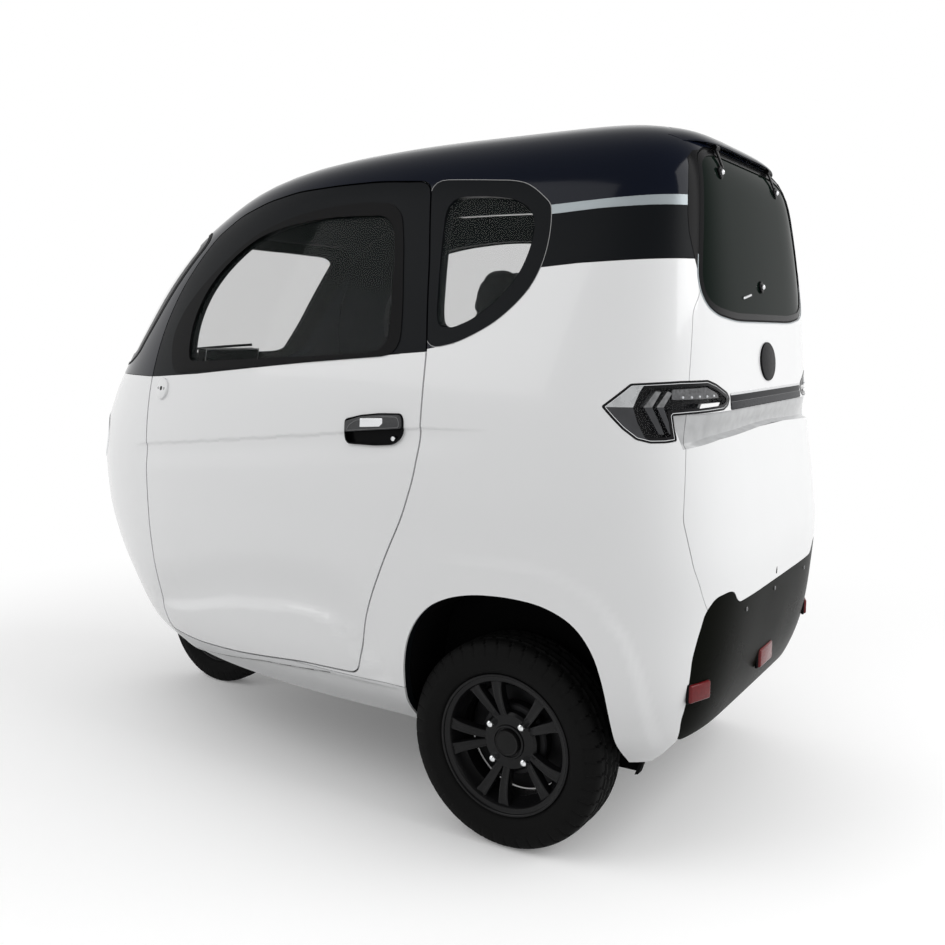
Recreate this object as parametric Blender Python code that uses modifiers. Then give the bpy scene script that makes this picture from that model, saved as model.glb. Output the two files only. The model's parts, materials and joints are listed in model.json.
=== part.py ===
"""Enclosed electric tricycle: one steered front wheel, two driven rear wheels, two doors and a rear hatch.

Metres, +Z up, front towards -Y, left side towards +X, origin on the ground at the middle of the box.
"""

import math

import bmesh
import bpy
import numpy as np
from mathutils import Matrix, Vector

# Driving dimensions of the body
BODY_REACH = 1.115
BODY_HALF_WIDTH = 0.58
BODY_HEIGHT = 1.68
WIDEST_Y = 0.45
NOSE_POWER_RATIO = 2.4
WALL = 0.032
GLASS_INSET = 0.003
GLASS_THICKNESS = 0.005
TOUCH = 0.0003
SHUT_GAP = 0.006
OVERRUN = 0.05
FILLET = 0.03
SHALLOW_CORNER = math.radians(24)

# Wheels and axles
REAR_AXLE_SHARE = 0.574
REAR_AXLE_Y = REAR_AXLE_SHARE * BODY_REACH
REAR_WHEEL_INSET = 0.104
REAR_WHEEL_X = BODY_HALF_WIDTH - REAR_WHEEL_INSET
REAR_TYRE_RADIUS = 0.247
REAR_TYRE_WIDTH = 0.135
REAR_RIM_RADIUS = 0.152
REAR_RIM_WIDTH = 0.116
FRONT_AXLE_SHARE = -0.695
FRONT_AXLE_Y = FRONT_AXLE_SHARE * BODY_REACH
FRONT_TYRE_RADIUS = 0.216
FRONT_TYRE_WIDTH = 0.09
FRONT_RIM_RADIUS = 0.127
FRONT_RIM_WIDTH = 0.076
FLANGE_HEIGHT = 0.018
RIM_WALL = 0.006
SPOKE_PAIRS = 5
AXLE_RADIUS = 0.03
DRUM_RADIUS = 0.085
DRUM_WIDTH = 0.05
HUB_RADIUS = 0.045
WHEEL_SIDES = 24

# Steering
STEER_RAKE = math.radians(22)
HANDLEBAR_SETBACK = 0.325
HANDLEBAR_Y = FRONT_AXLE_Y + HANDLEBAR_SETBACK
HANDLEBAR_HEIGHT = 0.98
HANDLEBAR_HALF_WIDTH = 0.30
HANDLEBAR_RADIUS = 0.011
GRIP_RADIUS = 0.017
GRIP_LENGTH = 0.12
STEM_RADIUS = 0.014
STEM_CLEARANCE = 0.0006
HEAD_TUBE_RADIUS = 0.026
HEAD_TUBE_LENGTH = 0.13
HEAD_TUBE_RISE = 0.131
FORK_LEG_RADIUS = 0.016
FORK_LEG_X = 0.075
FORK_CROWN_THICKNESS = 0.022
FRONT_HUB_HALF = 0.055

# Frame, floor and drive
RAIL_WIDTH = 0.04
FRAME_BASE = 0.20
FRAME_DEPTH = 0.036
KICK_UP = 0.13
FLOOR_THICKNESS = 0.012
DECK_HEIGHT = 0.50
TUB_INSET = 0.21
TUB_HALF_WIDTH = BODY_HALF_WIDTH - TUB_INSET
ARCH_LINER_GAP = 0.004
ARCH_LINER = 0.006
WHEEL_CUT_HALF_WIDTH = 0.185
WHEEL_CUT_HEIGHT = 0.43
DAMPER_INSET = 0.07
DAMPER_X = TUB_HALF_WIDTH - DAMPER_INSET
RAIL_INSET = 0.08
RAIL_X = DAMPER_X - RAIL_INSET
DAMPER_RADIUS = 0.018
SPRING_RADIUS = 0.032
SPRING_WIRE = 0.0045
SPRING_TURNS = 4
SPRING_SIDES = 7
BATTERY_WIDTH = 0.40
BATTERY_LENGTH = 0.38
BATTERY_HEIGHT = 0.14
BATTERY_Y = 0.06

# Seats
SEAT_WIDTH = 0.44
SEAT_LENGTH = 0.40
SEAT_THICKNESS = 0.10
SEAT_Y = -0.01
BACK_HEIGHT = 0.56
BACK_THICKNESS = 0.09
BACK_RECLINE = math.radians(16)
BENCH_SIDE_GAP = 0.03
BENCH_WIDTH = (TUB_HALF_WIDTH - BENCH_SIDE_GAP) * 2
BENCH_LENGTH = 0.34
BENCH_SHARE = 0.538
BENCH_Y = BENCH_SHARE * BODY_REACH
BENCH_BACK_HEIGHT = 0.50
SOFT_EDGE = 0.028
BACK_FOOT_REACH = 0.0358

# Lamps, handles and hinges
HEAD_LAMP_X_SHARE = 0.4655
HEAD_LAMP_HEIGHT_SHARE = 0.512
HEAD_LAMP_X = HEAD_LAMP_X_SHARE * BODY_HALF_WIDTH
HEAD_LAMP_HEIGHT = HEAD_LAMP_HEIGHT_SHARE * BODY_HEIGHT
HEAD_LAMP_RADIUS = 0.062
LAMP_SIDES = 20
LAMP_TURN = math.radians(45)
LIGHT_BAR_HALF_SHARE = 0.4897
LIGHT_BAR_HEIGHT_SHARES = (0.606, 0.6262)
TAIL_LAMP_CORNER_SHARES = (0.8, 0.62)
DOOR_HINGE_STAND = 0.0009
DOOR_HINGE_RADIUS = 0.0026
DOOR_HINGE_SHARES = (0.393, 0.5)
DOOR_HINGE_LENGTH = 0.05
HANDLE_LENGTH = 0.172
HANDLE_DEPTH = 0.064
HANDLE_Y = 0.31
HANDLE_HEIGHT = 0.962
HANDLE_STAND = 0.012
HANDLE_TILT = math.radians(7)
MIRROR_BASE_Y = -0.508
MIRROR_BASE_HEIGHT = 1.018
MIRROR_BASE_RADIUS = 0.034
MIRROR_BASE_STAND = 0.006
HATCH_HINGE_X = 0.212
HATCH_HINGE_RADIUS = 0.007
HATCH_HINGE_LENGTH = 0.05
HATCH_STRAP_LENGTH = 0.05
HATCH_STRAP_THICKNESS = 0.005
HATCH_LOCK_SHARE = 0.77
HATCH_LOCK_HEIGHT = HATCH_LOCK_SHARE * BODY_HEIGHT
HATCH_LOCK_RADIUS = 0.014
HATCH_LOCK_STAND = 0.012

# Body sections from the sill to the roof's ridge. Each row holds the height as a share of the body's
# height, the half width as a share of the widest, the nose and the tail as shares of the reach, and
# the power that squares the rear corners.
SECTION_SHARES = (
    (0.143, 0.830, -0.753, 0.905, 5.5),
    (0.190, 0.945, -0.825, 0.945, 5.6),
    (0.245, 0.980, -0.880, 0.972, 5.6),
    (0.330, 0.995, -0.955, 0.992, 5.2),
    (0.400, 1.000, -0.990, 1.000, 5.0),
    (0.470, 1.000, -1.000, 0.990, 5.0),
    (0.535, 0.993, -0.985, 0.975, 5.2),
    (0.595, 0.980, -0.945, 0.962, 5.4),
    (0.655, 0.955, -0.885, 0.952, 5.8),
    (0.715, 0.920, -0.820, 0.944, 6.3),
    (0.790, 0.865, -0.730, 0.932, 7.0),
    (0.860, 0.800, -0.615, 0.919, 7.5),
    (0.910, 0.745, -0.490, 0.905, 8.0),
    (0.940, 0.685, -0.400, 0.885, 8.0),
    (0.964, 0.590, -0.290, 0.850, 7.0),
    (0.982, 0.460, -0.150, 0.790, 6.0),
    (0.994, 0.280, 0.050, 0.700, 5.0),
    (1.000, 0.020, 0.300, 0.600, 4.0),
)
RING_SHARES = (
    0.143, 0.190, 0.250, 0.330, 0.400, 0.470, 0.560, 0.655, 0.750, 0.840, 0.910, 0.955, 0.985, 1.0,
)
INNER_RING_SHARES = (0.143, 0.190, 0.250, 0.400, 0.580, 0.750, 0.880, 0.955, 1.0)
NOSE_STEPS = 8
TAIL_STEPS = 7
ROOF_BLEND = 8

# Side outlines as (length, height) shares of the body's reach and height
DOOR_SHARES = (
    (-0.516, 0.186), (-0.359, 0.186), (-0.170, 0.195), (0.045, 0.210), (0.220, 0.213), (0.230, 0.258),
    (0.245, 0.297), (0.274, 0.344), (0.310, 0.398), (0.353, 0.455), (0.380, 0.507), (0.394, 0.555),
    (0.396, 0.607), (0.397, 0.682), (0.375, 0.803), (0.342, 0.912), (0.200, 0.920), (0.079, 0.921),
    (-0.060, 0.920), (-0.170, 0.911), (-0.274, 0.894), (-0.359, 0.863), (-0.414, 0.821),
    (-0.462, 0.773), (-0.495, 0.723), (-0.509, 0.679), (-0.516, 0.632),
)
DOOR_WINDOW_SHARES = (
    (-0.346, 0.657), (-0.357, 0.690), (-0.355, 0.726), (-0.332, 0.765), (-0.290, 0.799),
    (-0.226, 0.832), (-0.152, 0.857), (-0.054, 0.870), (0.076, 0.877), (0.235, 0.873),
    (0.267, 0.860), (0.285, 0.833), (0.301, 0.750), (0.306, 0.677), (-0.045, 0.665),
)
QUARTER_WINDOW_SHARES = (
    (0.405, 0.888), (0.493, 0.885), (0.561, 0.877), (0.596, 0.863), (0.612, 0.843), (0.610, 0.817),
    (0.587, 0.777), (0.538, 0.742), (0.475, 0.716), (0.446, 0.714), (0.438, 0.732),
)
ROOF_EDGE_SHARES = (
    (-1.050, 0.632), (-0.440, 0.632), (0.359, 0.683), (0.396, 0.683), (0.453, 0.691), (0.520, 0.708),
    (0.581, 0.740), (0.618, 0.771), (0.642, 0.793), (1.050, 0.793),
)
ARCH_SHARES = (
    (0.336, 0.100), (0.339, 0.173), (0.344, 0.214), (0.349, 0.250), (0.361, 0.283), (0.387, 0.313),
    (0.422, 0.336), (0.473, 0.352), (0.533, 0.361), (0.613, 0.364), (0.688, 0.359), (0.749, 0.341),
    (0.787, 0.309), (0.806, 0.270), (0.816, 0.229), (0.821, 0.179), (0.822, 0.100),
)
COWL_BACK_SHARE = -0.5214
SILL_TOP_SHARE = 0.206
DASH_SHARES = (
    (-1.000, 0.440), (-0.640, 0.430), (-0.610, 0.500), (-0.574, 0.560), (-0.572, 0.590),
    (-0.620, 0.602), (-0.900, 0.616), (-1.000, 0.616),
)

# Rear and front outlines as (half width, height) shares, from the middle outwards
REAR_GLASS_SHARES = (
    (0.362, 0.944), (0.491, 0.937), (0.566, 0.924), (0.595, 0.893), (0.624, 0.854), (0.664, 0.801),
    (0.681, 0.774), (0.669, 0.752), (0.631, 0.738), (0.560, 0.729), (0.379, 0.722),
)
REAR_PANEL_SHARES = (
    (0.659, 0.774), (0.686, 0.751), (0.726, 0.732), (0.766, 0.647), (0.797, 0.574), (0.833, 0.476),
    (0.810, 0.417), (0.769, 0.376), (0.603, 0.268),
)
BUMPER_SHARES = (
    (0.517, 0.355), (0.548, 0.361), (0.578, 0.373), (0.621, 0.376), (0.707, 0.373), (0.753, 0.357),
    (0.779, 0.321), (0.791, 0.298), (0.788, 0.262), (0.776, 0.214), (0.762, 0.179), (0.621, 0.182),
    (0.345, 0.186),
)
WINDSHIELD_SHARES = (
    (0.431, 0.649), (0.565, 0.653), (0.612, 0.668), (0.614, 0.732), (0.593, 0.803), (0.565, 0.855),
    (0.505, 0.872), (0.345, 0.880), (0.100, 0.884),
)
TAIL_LAMP_SHARES = (
    (0.260, 0.613), (0.176, 0.641), (0.070, 0.643), (-0.121, 0.645), (-0.182, 0.639),
    (-0.263, 0.621), (-0.220, 0.609), (0.029, 0.604), (0.018, 0.574), (0.115, 0.571),
    (0.173, 0.580),
)

SIDE = (Vector((0, 1, 0)), Vector((0, 0, 1)))
REAR = (Vector((1, 0, 0)), Vector((0, 0, 1)))


def clear_scene():
    for obj in list(bpy.data.objects):
        bpy.data.objects.remove(obj, do_unlink=True)


def new_collection(name, hidden):
    collection = bpy.data.collections.new(name)
    bpy.context.scene.collection.children.link(collection)
    collection.hide_render = hidden
    return collection


clear_scene()
PARTS = new_collection("electric_tricycle", False)
CUTTERS = new_collection("cutters", True)


# Materials
def make_material(name, color, roughness, metallic=0.0, alpha=1.0):
    material = bpy.data.materials.new(name)
    material.use_nodes = True
    shader = material.node_tree.nodes["Principled BSDF"]
    shader.inputs["Base Color"].default_value = (*color, 1.0)
    shader.inputs["Roughness"].default_value = roughness
    shader.inputs["Metallic"].default_value = metallic
    shader.inputs["Alpha"].default_value = alpha
    return material


MATERIALS = {
    "white_paint": make_material("white_paint", (0.82, 0.83, 0.84), 0.25),
    "navy_paint": make_material("navy_paint", (0.012, 0.016, 0.03), 0.18),
    "black_plastic": make_material("black_plastic", (0.02, 0.02, 0.022), 0.55),
    "grey_plastic": make_material("grey_plastic", (0.10, 0.10, 0.105), 0.6),
    "tinted_glass": make_material("tinted_glass", (0.03, 0.035, 0.04), 0.05, alpha=0.35),
    "smoked_lens": make_material("smoked_lens", (0.10, 0.10, 0.105), 0.12),
    "clear_lens": make_material("clear_lens", (0.75, 0.78, 0.8), 0.08),
    "frame_steel": make_material("frame_steel", (0.03, 0.03, 0.032), 0.5, 0.4),
    "bright_steel": make_material("bright_steel", (0.6, 0.6, 0.62), 0.3, 1.0),
    "black_alloy": make_material("black_alloy", (0.03, 0.03, 0.033), 0.3, 0.6),
    "tyre_rubber": make_material("tyre_rubber", (0.022, 0.022, 0.022), 0.8),
    "seat_fabric": make_material("seat_fabric", (0.05, 0.05, 0.055), 0.85),
}


# Mesh helpers
def add_object(name, mesh, collection=PARTS):
    obj = bpy.data.objects.new(name, mesh)
    collection.objects.link(obj)
    if collection is CUTTERS:
        obj.hide_render = True
        obj.display_type = "WIRE"
    return obj


def evaluated_mesh(obj):
    bpy.context.view_layer.update()
    graph = bpy.context.evaluated_depsgraph_get()
    return bpy.data.meshes.new_from_object(obj.evaluated_get(graph))


def clean(mesh):
    """Weld loose caps, drop slivers and turn the faces outwards."""
    bm = bmesh.new()
    bm.from_mesh(mesh)
    bmesh.ops.remove_doubles(bm, verts=bm.verts, dist=TOUCH * TOUCH)
    bmesh.ops.recalc_face_normals(bm, faces=bm.faces)
    bm.to_mesh(mesh)
    bm.free()
    return mesh


def bake(obj):
    """Replace the object's mesh by what its modifiers make."""
    mesh = evaluated_mesh(obj)
    obj.modifiers.clear()
    obj.data = mesh
    return obj


def boolean(obj, tools, operation="DIFFERENCE"):
    for tool in tools:
        modifier = obj.modifiers.new(operation.lower(), "BOOLEAN")
        modifier.operation = operation
        modifier.solver = "EXACT"
        modifier.object = tool
    return bake(obj)


def copy_of(obj, name, collection=CUTTERS):
    return add_object(name, obj.data.copy(), collection)


def mirrored(obj, name):
    """The same solid on the other side of the vehicle."""
    mesh = obj.data.copy()
    mesh.transform(Matrix.Scale(-1, 4, (1, 0, 0)))
    mesh.flip_normals()
    return add_object(name, mesh)


def finish(obj, material, angle=math.radians(35)):
    obj.data.materials.clear()
    obj.data.materials.append(MATERIALS[material])
    obj.data.shade_smooth()
    obj.data.set_sharp_from_angle(angle=angle)
    return obj


def origin_to(obj, place):
    """Set the object's origin to a place on its joint's axis and keep its solid where it is."""
    obj.data.transform(Matrix.Translation(-place))
    obj.location = place
    return obj


# Outlines
def side_points(shares):
    return [(y * BODY_REACH, z * BODY_HEIGHT) for y, z in shares]


def half_points(shares):
    """A closed outline from its right half, given from the middle outwards and down again."""
    right = [(x * BODY_HALF_WIDTH, z * BODY_HEIGHT) for x, z in shares]
    return right + [(-x, z) for x, z in reversed(right)]


def filleted(points, radius=FILLET, steps=2):
    """Round each corner of a closed outline, but not a shallow one, by an arc its edges have room for."""
    rounded = []
    count = len(points)
    for i in range(count):
        corner = Vector(points[i])
        before = Vector(points[i - 1]) - corner
        after = Vector(points[(i + 1) % count]) - corner
        if math.pi - before.angle(after) < SHALLOW_CORNER:
            rounded.append(corner)
            continue
        reach = min(radius, before.length / 2, after.length / 2)
        start = corner + before.normalized() * reach
        end = corner + after.normalized() * reach
        for step in range(steps + 1):
            t = step / steps
            point = start * (1 - t) ** 2 + corner * 2 * t * (1 - t) + end * t**2
            if not rounded or (point - rounded[-1]).length > SHUT_GAP:
                rounded.append(point)
    if (rounded[0] - rounded[-1]).length < SHUT_GAP:
        rounded.pop()
    return rounded


def widened(points, distance):
    """The outline moved outwards by a distance, or inwards by a negative one."""
    count = len(points)
    area = sum(
        points[i - 1][0] * points[i][1] - points[i][0] * points[i - 1][1] for i in range(count)
    )
    turn = math.copysign(1, area)
    moved = []
    for i in range(count):
        here = Vector(points[i])
        before = (here - Vector(points[i - 1])).normalized()
        after = (Vector(points[(i + 1) % count]) - here).normalized()
        normal = Vector((before.y + after.y, -before.x - after.x)) * turn
        cosine = max(normal.length / 2, 0.5)
        moved.append(here + normal.normalized() * distance / cosine)
    return moved


def prism(name, points, view, centre, half_depth, collection=CUTTERS):
    """A flat outline extruded both ways along the normal of its view."""
    across, up = view
    curve = bpy.data.curves.new(name, "CURVE")
    curve.dimensions = "2D"
    curve.fill_mode = "BOTH"
    curve.extrude = half_depth
    spline = curve.splines.new("POLY")
    spline.points.add(len(points) - 1)
    for point, (u, v) in zip(spline.points, points):
        point.co = (u, v, 0, 1)
    spline.use_cyclic_u = True
    guide = add_object(name + "_outline", curve, CUTTERS)
    mesh = evaluated_mesh(guide)
    bpy.data.objects.remove(guide)
    normal = across.cross(up)
    matrix = Matrix((across, up, normal)).transposed().to_4x4()
    mesh.transform(Matrix.Translation(centre) @ matrix)
    clean(mesh)
    return add_object(name, mesh, collection)


def side_prism(name, points, low, high, collection=CUTTERS):
    centre = Vector(((low + high) / 2, 0, 0))
    return prism(name, points, SIDE, centre, (high - low) / 2, collection)


def rear_prism(name, points, low, high, collection=CUTTERS):
    centre = Vector((0, (low + high) / 2, 0))
    return prism(name, points, REAR, centre, (high - low) / 2, collection)


def block(name, size, place, collection=PARTS, turn=0.0, edge=0.0, segments=2):
    """A box with rounded edges, turned about its own X axis."""
    bm = bmesh.new()
    bmesh.ops.create_cube(bm, size=1.0, matrix=Matrix.Diagonal((*size, 1)))
    if edge:
        bmesh.ops.bevel(
            bm, geom=bm.edges[:], offset=edge, segments=segments, profile=0.5, affect="EDGES"
        )
    mesh = bpy.data.meshes.new(name)
    bm.to_mesh(mesh)
    bm.free()
    mesh.transform(Matrix.Translation(place) @ Matrix.Rotation(turn, 4, "X"))
    return add_object(name, mesh, collection)


def bar(name, start, end, radius, sides=12, collection=CUTTERS, end_radius=None):
    """A round bar between two points."""
    start, end = Vector(start), Vector(end)
    bm = bmesh.new()
    bmesh.ops.create_cone(
        bm, cap_ends=True, segments=sides, radius1=radius, radius2=end_radius or radius,
        depth=(end - start).length,
    )
    mesh = bpy.data.meshes.new(name)
    bm.to_mesh(mesh)
    bm.free()
    turn = (end - start).to_track_quat("Z", "Y").to_matrix().to_4x4()
    mesh.transform(Matrix.Translation((start + end) / 2) @ turn)
    return add_object(name, mesh, collection)


def beam(name, start, end, width, depth, collection=CUTTERS):
    """A square tube's outer form between two points, its width across X and its depth upright."""
    start, end = Vector(start), Vector(end)
    run = end - start
    bm = bmesh.new()
    bmesh.ops.create_cube(bm, size=1.0)
    along = run.normalized()
    across = Vector((1, 0, 0)) if abs(along.x) < math.sqrt(0.5) else Vector((0, 1, 0))
    up = across.cross(along).normalized()
    frame = Matrix((across * width, along * run.length, up * depth)).transposed().to_4x4()
    bmesh.ops.transform(bm, matrix=Matrix.Translation((start + end) / 2) @ frame, verts=bm.verts)
    bmesh.ops.recalc_face_normals(bm, faces=bm.faces)
    mesh = bpy.data.meshes.new(name)
    bm.to_mesh(mesh)
    bm.free()
    return add_object(name, mesh, collection)


def turned(name, profile, centre, axis=Vector((1, 0, 0)), sides=WHEEL_SIDES, collection=CUTTERS):
    """A profile of (radius, place along the axis) screwed into a solid ring or disc."""
    mesh = bpy.data.meshes.new(name)
    points = [(radius, 0, along) for radius, along in profile]
    edges = [(i, (i + 1) % len(points)) for i in range(len(points))]
    mesh.from_pydata(points, edges, [])
    obj = add_object(name, mesh, collection)
    screw = obj.modifiers.new("turn", "SCREW")
    screw.axis = "Z"
    screw.steps = sides
    screw.render_steps = sides
    screw.use_merge_vertices = True
    screw.merge_threshold = TOUCH * TOUCH * 10
    bake(obj)
    turn = axis.to_track_quat("Z", "Y").to_matrix().to_4x4()
    obj.data.transform(Matrix.Translation(centre) @ turn)
    clean(obj.data)
    return obj


def tube(name, points, radius, resolution=1, collection=CUTTERS, kind="POLY"):
    """A round tube along a run of points, made a mesh with its caps welded on."""
    curve = bpy.data.curves.new(name, "CURVE")
    curve.dimensions = "3D"
    curve.bevel_depth = radius
    curve.bevel_resolution = resolution
    curve.use_fill_caps = True
    spline = curve.splines.new(kind)
    spline.points.add(len(points) - 1)
    for point, place in zip(spline.points, points):
        point.co = (*place, 1)
    guide = add_object(name + "_path", curve, CUTTERS)
    mesh = evaluated_mesh(guide)
    bpy.data.objects.remove(guide)
    return add_object(name, clean(mesh), collection)


def fused(name, pieces, material, collection=PARTS):
    """One solid from several that overlap."""
    first = copy_of(pieces[0], name, collection)
    boolean(first, pieces[1:], "UNION")
    first.data.transform(pieces[0].matrix_world)
    return finish(first, material)


# The body's surface
def hermite_slopes(xs, ys):
    """Slopes that keep a smooth curve through the rows from overshooting."""
    steps = np.diff(ys) / np.diff(xs)
    slopes = np.zeros(len(xs))
    for i in range(1, len(xs) - 1):
        if steps[i - 1] * steps[i] > 0:
            slopes[i] = 2 / (1 / steps[i - 1] + 1 / steps[i])
    slopes[0] = steps[0]
    slopes[-1] = steps[-1]
    return slopes


def section_at(height_share):
    """Half width, nose, tail and rear corner power at a height, smoothly between the rows."""
    rows = np.array(SECTION_SHARES)
    heights = rows[:, 0]
    share = min(max(height_share, heights[0]), heights[-1])
    i = min(int(np.searchsorted(heights, share, side="right")) - 1, len(heights) - 2)
    span = heights[i + 1] - heights[i]
    t = (share - heights[i]) / span
    values = []
    for column in range(1, rows.shape[1]):
        ys = rows[:, column]
        slopes = hermite_slopes(heights, ys)
        values.append(
            (2 * t**3 - 3 * t**2 + 1) * ys[i]
            + (t**3 - 2 * t**2 + t) * span * slopes[i]
            + (3 * t**2 - 2 * t**3) * ys[i + 1]
            + (t**3 - t**2) * span * slopes[i + 1]
        )
    return values


def body_ring(height_share, inset):
    """One closed plan curve of the body, moved inwards by the inset."""
    width_share, nose_share, tail_share, power = section_at(height_share)
    width = max(width_share * BODY_HALF_WIDTH - inset, TOUCH * 10)
    nose = nose_share * BODY_REACH + inset
    tail = tail_share * BODY_REACH - inset
    height = height_share * BODY_HEIGHT - inset * height_share**ROOF_BLEND
    left = []
    for step in range(NOSE_STEPS + 1):
        angle = math.pi / 2 * step / NOSE_STEPS
        x = width * math.sin(angle) ** (2 / NOSE_POWER_RATIO)
        y = WIDEST_Y - (WIDEST_Y - nose) * math.cos(angle) ** (2 / NOSE_POWER_RATIO)
        left.append((x, y, height))
    for step in range(1, TAIL_STEPS + 1):
        angle = math.pi / 2 * step / TAIL_STEPS
        x = width * max(math.cos(angle), 0) ** (2 / power)
        y = WIDEST_Y + (tail - WIDEST_Y) * math.sin(angle) ** (2 / power)
        left.append((x, y, height))
    left[-1] = (0, tail, height)
    right = [(-x, y, z) for x, y, z in reversed(left[1:-1])]
    return left + right


def body_solid(name, inset, drop=0.0, shares=RING_SHARES):
    """The body's outer form as a loft of plan curves, its lowest ring moved down by the drop."""
    bm = bmesh.new()
    rings = [body_ring(share, inset) for share in shares]
    if drop:
        rings.insert(0, [(x, y, z - drop) for x, y, z in rings[0]])
    loops = [[bm.verts.new(point) for point in ring] for ring in rings]
    for low, high in zip(loops, loops[1:]):
        for i in range(len(low)):
            j = (i + 1) % len(low)
            if i < len(low) // 2:
                bm.faces.new((low[i], low[j], high[j]))
                bm.faces.new((low[i], high[j], high[i]))
            else:
                bm.faces.new((low[i], low[j], high[i]))
                bm.faces.new((low[j], high[j], high[i]))
    bm.faces.new(loops[0])
    bm.faces.new(loops[-1])
    bmesh.ops.recalc_face_normals(bm, faces=bm.faces)
    mesh = bpy.data.meshes.new(name)
    bm.to_mesh(mesh)
    bm.free()
    return add_object(name, mesh, CUTTERS)


def skin_x(y, z):
    """The body's half width at a place along it."""
    width_share, nose_share, tail_share, power = section_at(z / BODY_HEIGHT)
    end_share, power = (nose_share, NOSE_POWER_RATIO) if y < WIDEST_Y else (tail_share, power)
    reach = (y - WIDEST_Y) / (end_share * BODY_REACH - WIDEST_Y)
    return width_share * BODY_HALF_WIDTH * max(1 - min(reach, 1) ** power, 0) ** (1 / power)


def skin_tail_y(x, z):
    """The body's rear surface at a place across it."""
    width_share, nose_share, tail_share, power = section_at(z / BODY_HEIGHT)
    share = min(abs(x) / (width_share * BODY_HALF_WIDTH), 1)
    return WIDEST_Y + (tail_share * BODY_REACH - WIDEST_Y) * (1 - share**power) ** (1 / power)


def make_shells():
    outer = body_solid("body_outer", 0)
    inner = body_solid("body_inner", WALL, OVERRUN, INNER_RING_SHARES)
    shell = copy_of(outer, "body_shell")
    boolean(shell, [inner])
    glass = copy_of(body_solid("glass_outer", GLASS_INSET, OVERRUN), "glass_shell")
    boolean(glass, [body_solid("glass_inner", GLASS_INSET + GLASS_THICKNESS, OVERRUN * 2)])
    return shell, glass


# Openings shared by a panel and what fills it
FAR = BODY_REACH + OVERRUN
OUTSIDE = BODY_HALF_WIDTH + OVERRUN


def region(name, points):
    """A side-view region that reaches across the whole vehicle."""
    return side_prism(name, points, -OUTSIDE, OUTSIDE)


def windows_and_openings():
    door = filleted(side_points(DOOR_SHARES))
    window = filleted(side_points(DOOR_WINDOW_SHARES), FILLET * 2)
    quarter = filleted(side_points(QUARTER_WINDOW_SHARES), FILLET * 2)
    arch = filleted(side_points(ARCH_SHARES), FILLET * 2)
    glass = filleted(half_points(REAR_GLASS_SHARES), FILLET * 2)
    windshield = filleted(half_points(WINDSHIELD_SHARES), FILLET * 2)
    return {
        "door": door,
        "window": window,
        "quarter": quarter,
        "arch": arch,
        "rear_glass": glass,
        "windshield": windshield,
        "rear_panel": filleted(half_points(REAR_PANEL_SHARES), FILLET / 2),
        "bumper": filleted(half_points(BUMPER_SHARES), FILLET / 2),
        "tail_lamp": tail_lamp_outline(),
    }


def tail_lamp_outline():
    """The lamp's outline in its own turned view, placed from the body's rear corner."""
    corner_x = TAIL_LAMP_CORNER_SHARES[0] * BODY_HALF_WIDTH
    corner_y = skin_tail_y(corner_x, TAIL_LAMP_CORNER_SHARES[1] * BODY_HEIGHT)
    corner = corner_x * math.cos(LAMP_TURN) - corner_y * math.sin(LAMP_TURN)
    points = [(corner + u * BODY_HALF_WIDTH, z * BODY_HEIGHT) for u, z in TAIL_LAMP_SHARES]
    return filleted(points, FILLET / 2)


def tail_lamp_prism(name, points):
    across = Vector((math.cos(LAMP_TURN), -math.sin(LAMP_TURN), 0))
    outward = Vector((math.sin(LAMP_TURN), math.cos(LAMP_TURN), 0))
    centre = outward * BODY_REACH
    return prism(name, points, (across, Vector((0, 0, 1))), centre, BODY_HALF_WIDTH)


def head_lamp_outline(radius):
    return [
        (
            HEAD_LAMP_X + radius * math.cos(2 * math.pi * i / LAMP_SIDES),
            HEAD_LAMP_HEIGHT + radius * math.sin(2 * math.pi * i / LAMP_SIDES),
        )
        for i in range(LAMP_SIDES)
    ]


def light_bar_outline(margin):
    half = LIGHT_BAR_HALF_SHARE * BODY_HALF_WIDTH
    low, high = (share * BODY_HEIGHT for share in LIGHT_BAR_HEIGHT_SHARES)
    points = [(half, low), (half, high), (-half, high), (-half, low)]
    return widened(filleted(points, GRIP_RADIUS / 2), margin)


def roof_region(margin):
    """What lies above the line where the dark upper body starts."""
    edge = side_points(ROOF_EDGE_SHARES)
    top = BODY_HEIGHT + OVERRUN
    return [(y, z + margin) for y, z in edge] + [(edge[-1][0], top), (edge[0][0], top)]


def lower_region(front, back, bottom):
    """What lies below that line, between two stations."""
    edge = [(y, z) for y, z in side_points(ROOF_EDGE_SHARES) if front < y < back]
    first = np.interp(front, *np.array(side_points(ROOF_EDGE_SHARES)).T)
    last = np.interp(back, *np.array(side_points(ROOF_EDGE_SHARES)).T)
    return [(front, bottom), (front, first), *edge, (back, last), (back, bottom)]


# Body panels
def make_roof(shell, cut):
    roof = copy_of(shell, "roof_shell", PARTS)
    boolean(roof, [region("roof_region", roof_region(TOUCH))], "INTERSECT")
    door = region("roof_door_cut", widened(cut["door"], SHUT_GAP))
    quarter = region("roof_quarter_cut", cut["quarter"])
    glass = rear_prism("roof_glass_cut", widened(cut["rear_glass"], SHUT_GAP), WIDEST_Y, FAR)
    shield = rear_prism("roof_shield_cut", cut["windshield"], -FAR, 0)
    boolean(roof, [door, quarter, glass, shield])
    lugs = []
    for side in (1, -1):
        start, end = hatch_lug_ends(side)
        lugs.append(bar("hatch_lug", start, end, HATCH_HINGE_RADIUS))
        middle = (start + end) / 2
        root = middle + Vector((0, -WALL * 1.5, WALL * 0.7))
        lugs.append(beam("hatch_lug_root", middle, root, (end - start).length, HATCH_HINGE_RADIUS))
    boolean(roof, lugs, "UNION")
    return finish(roof, "navy_paint")


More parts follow.
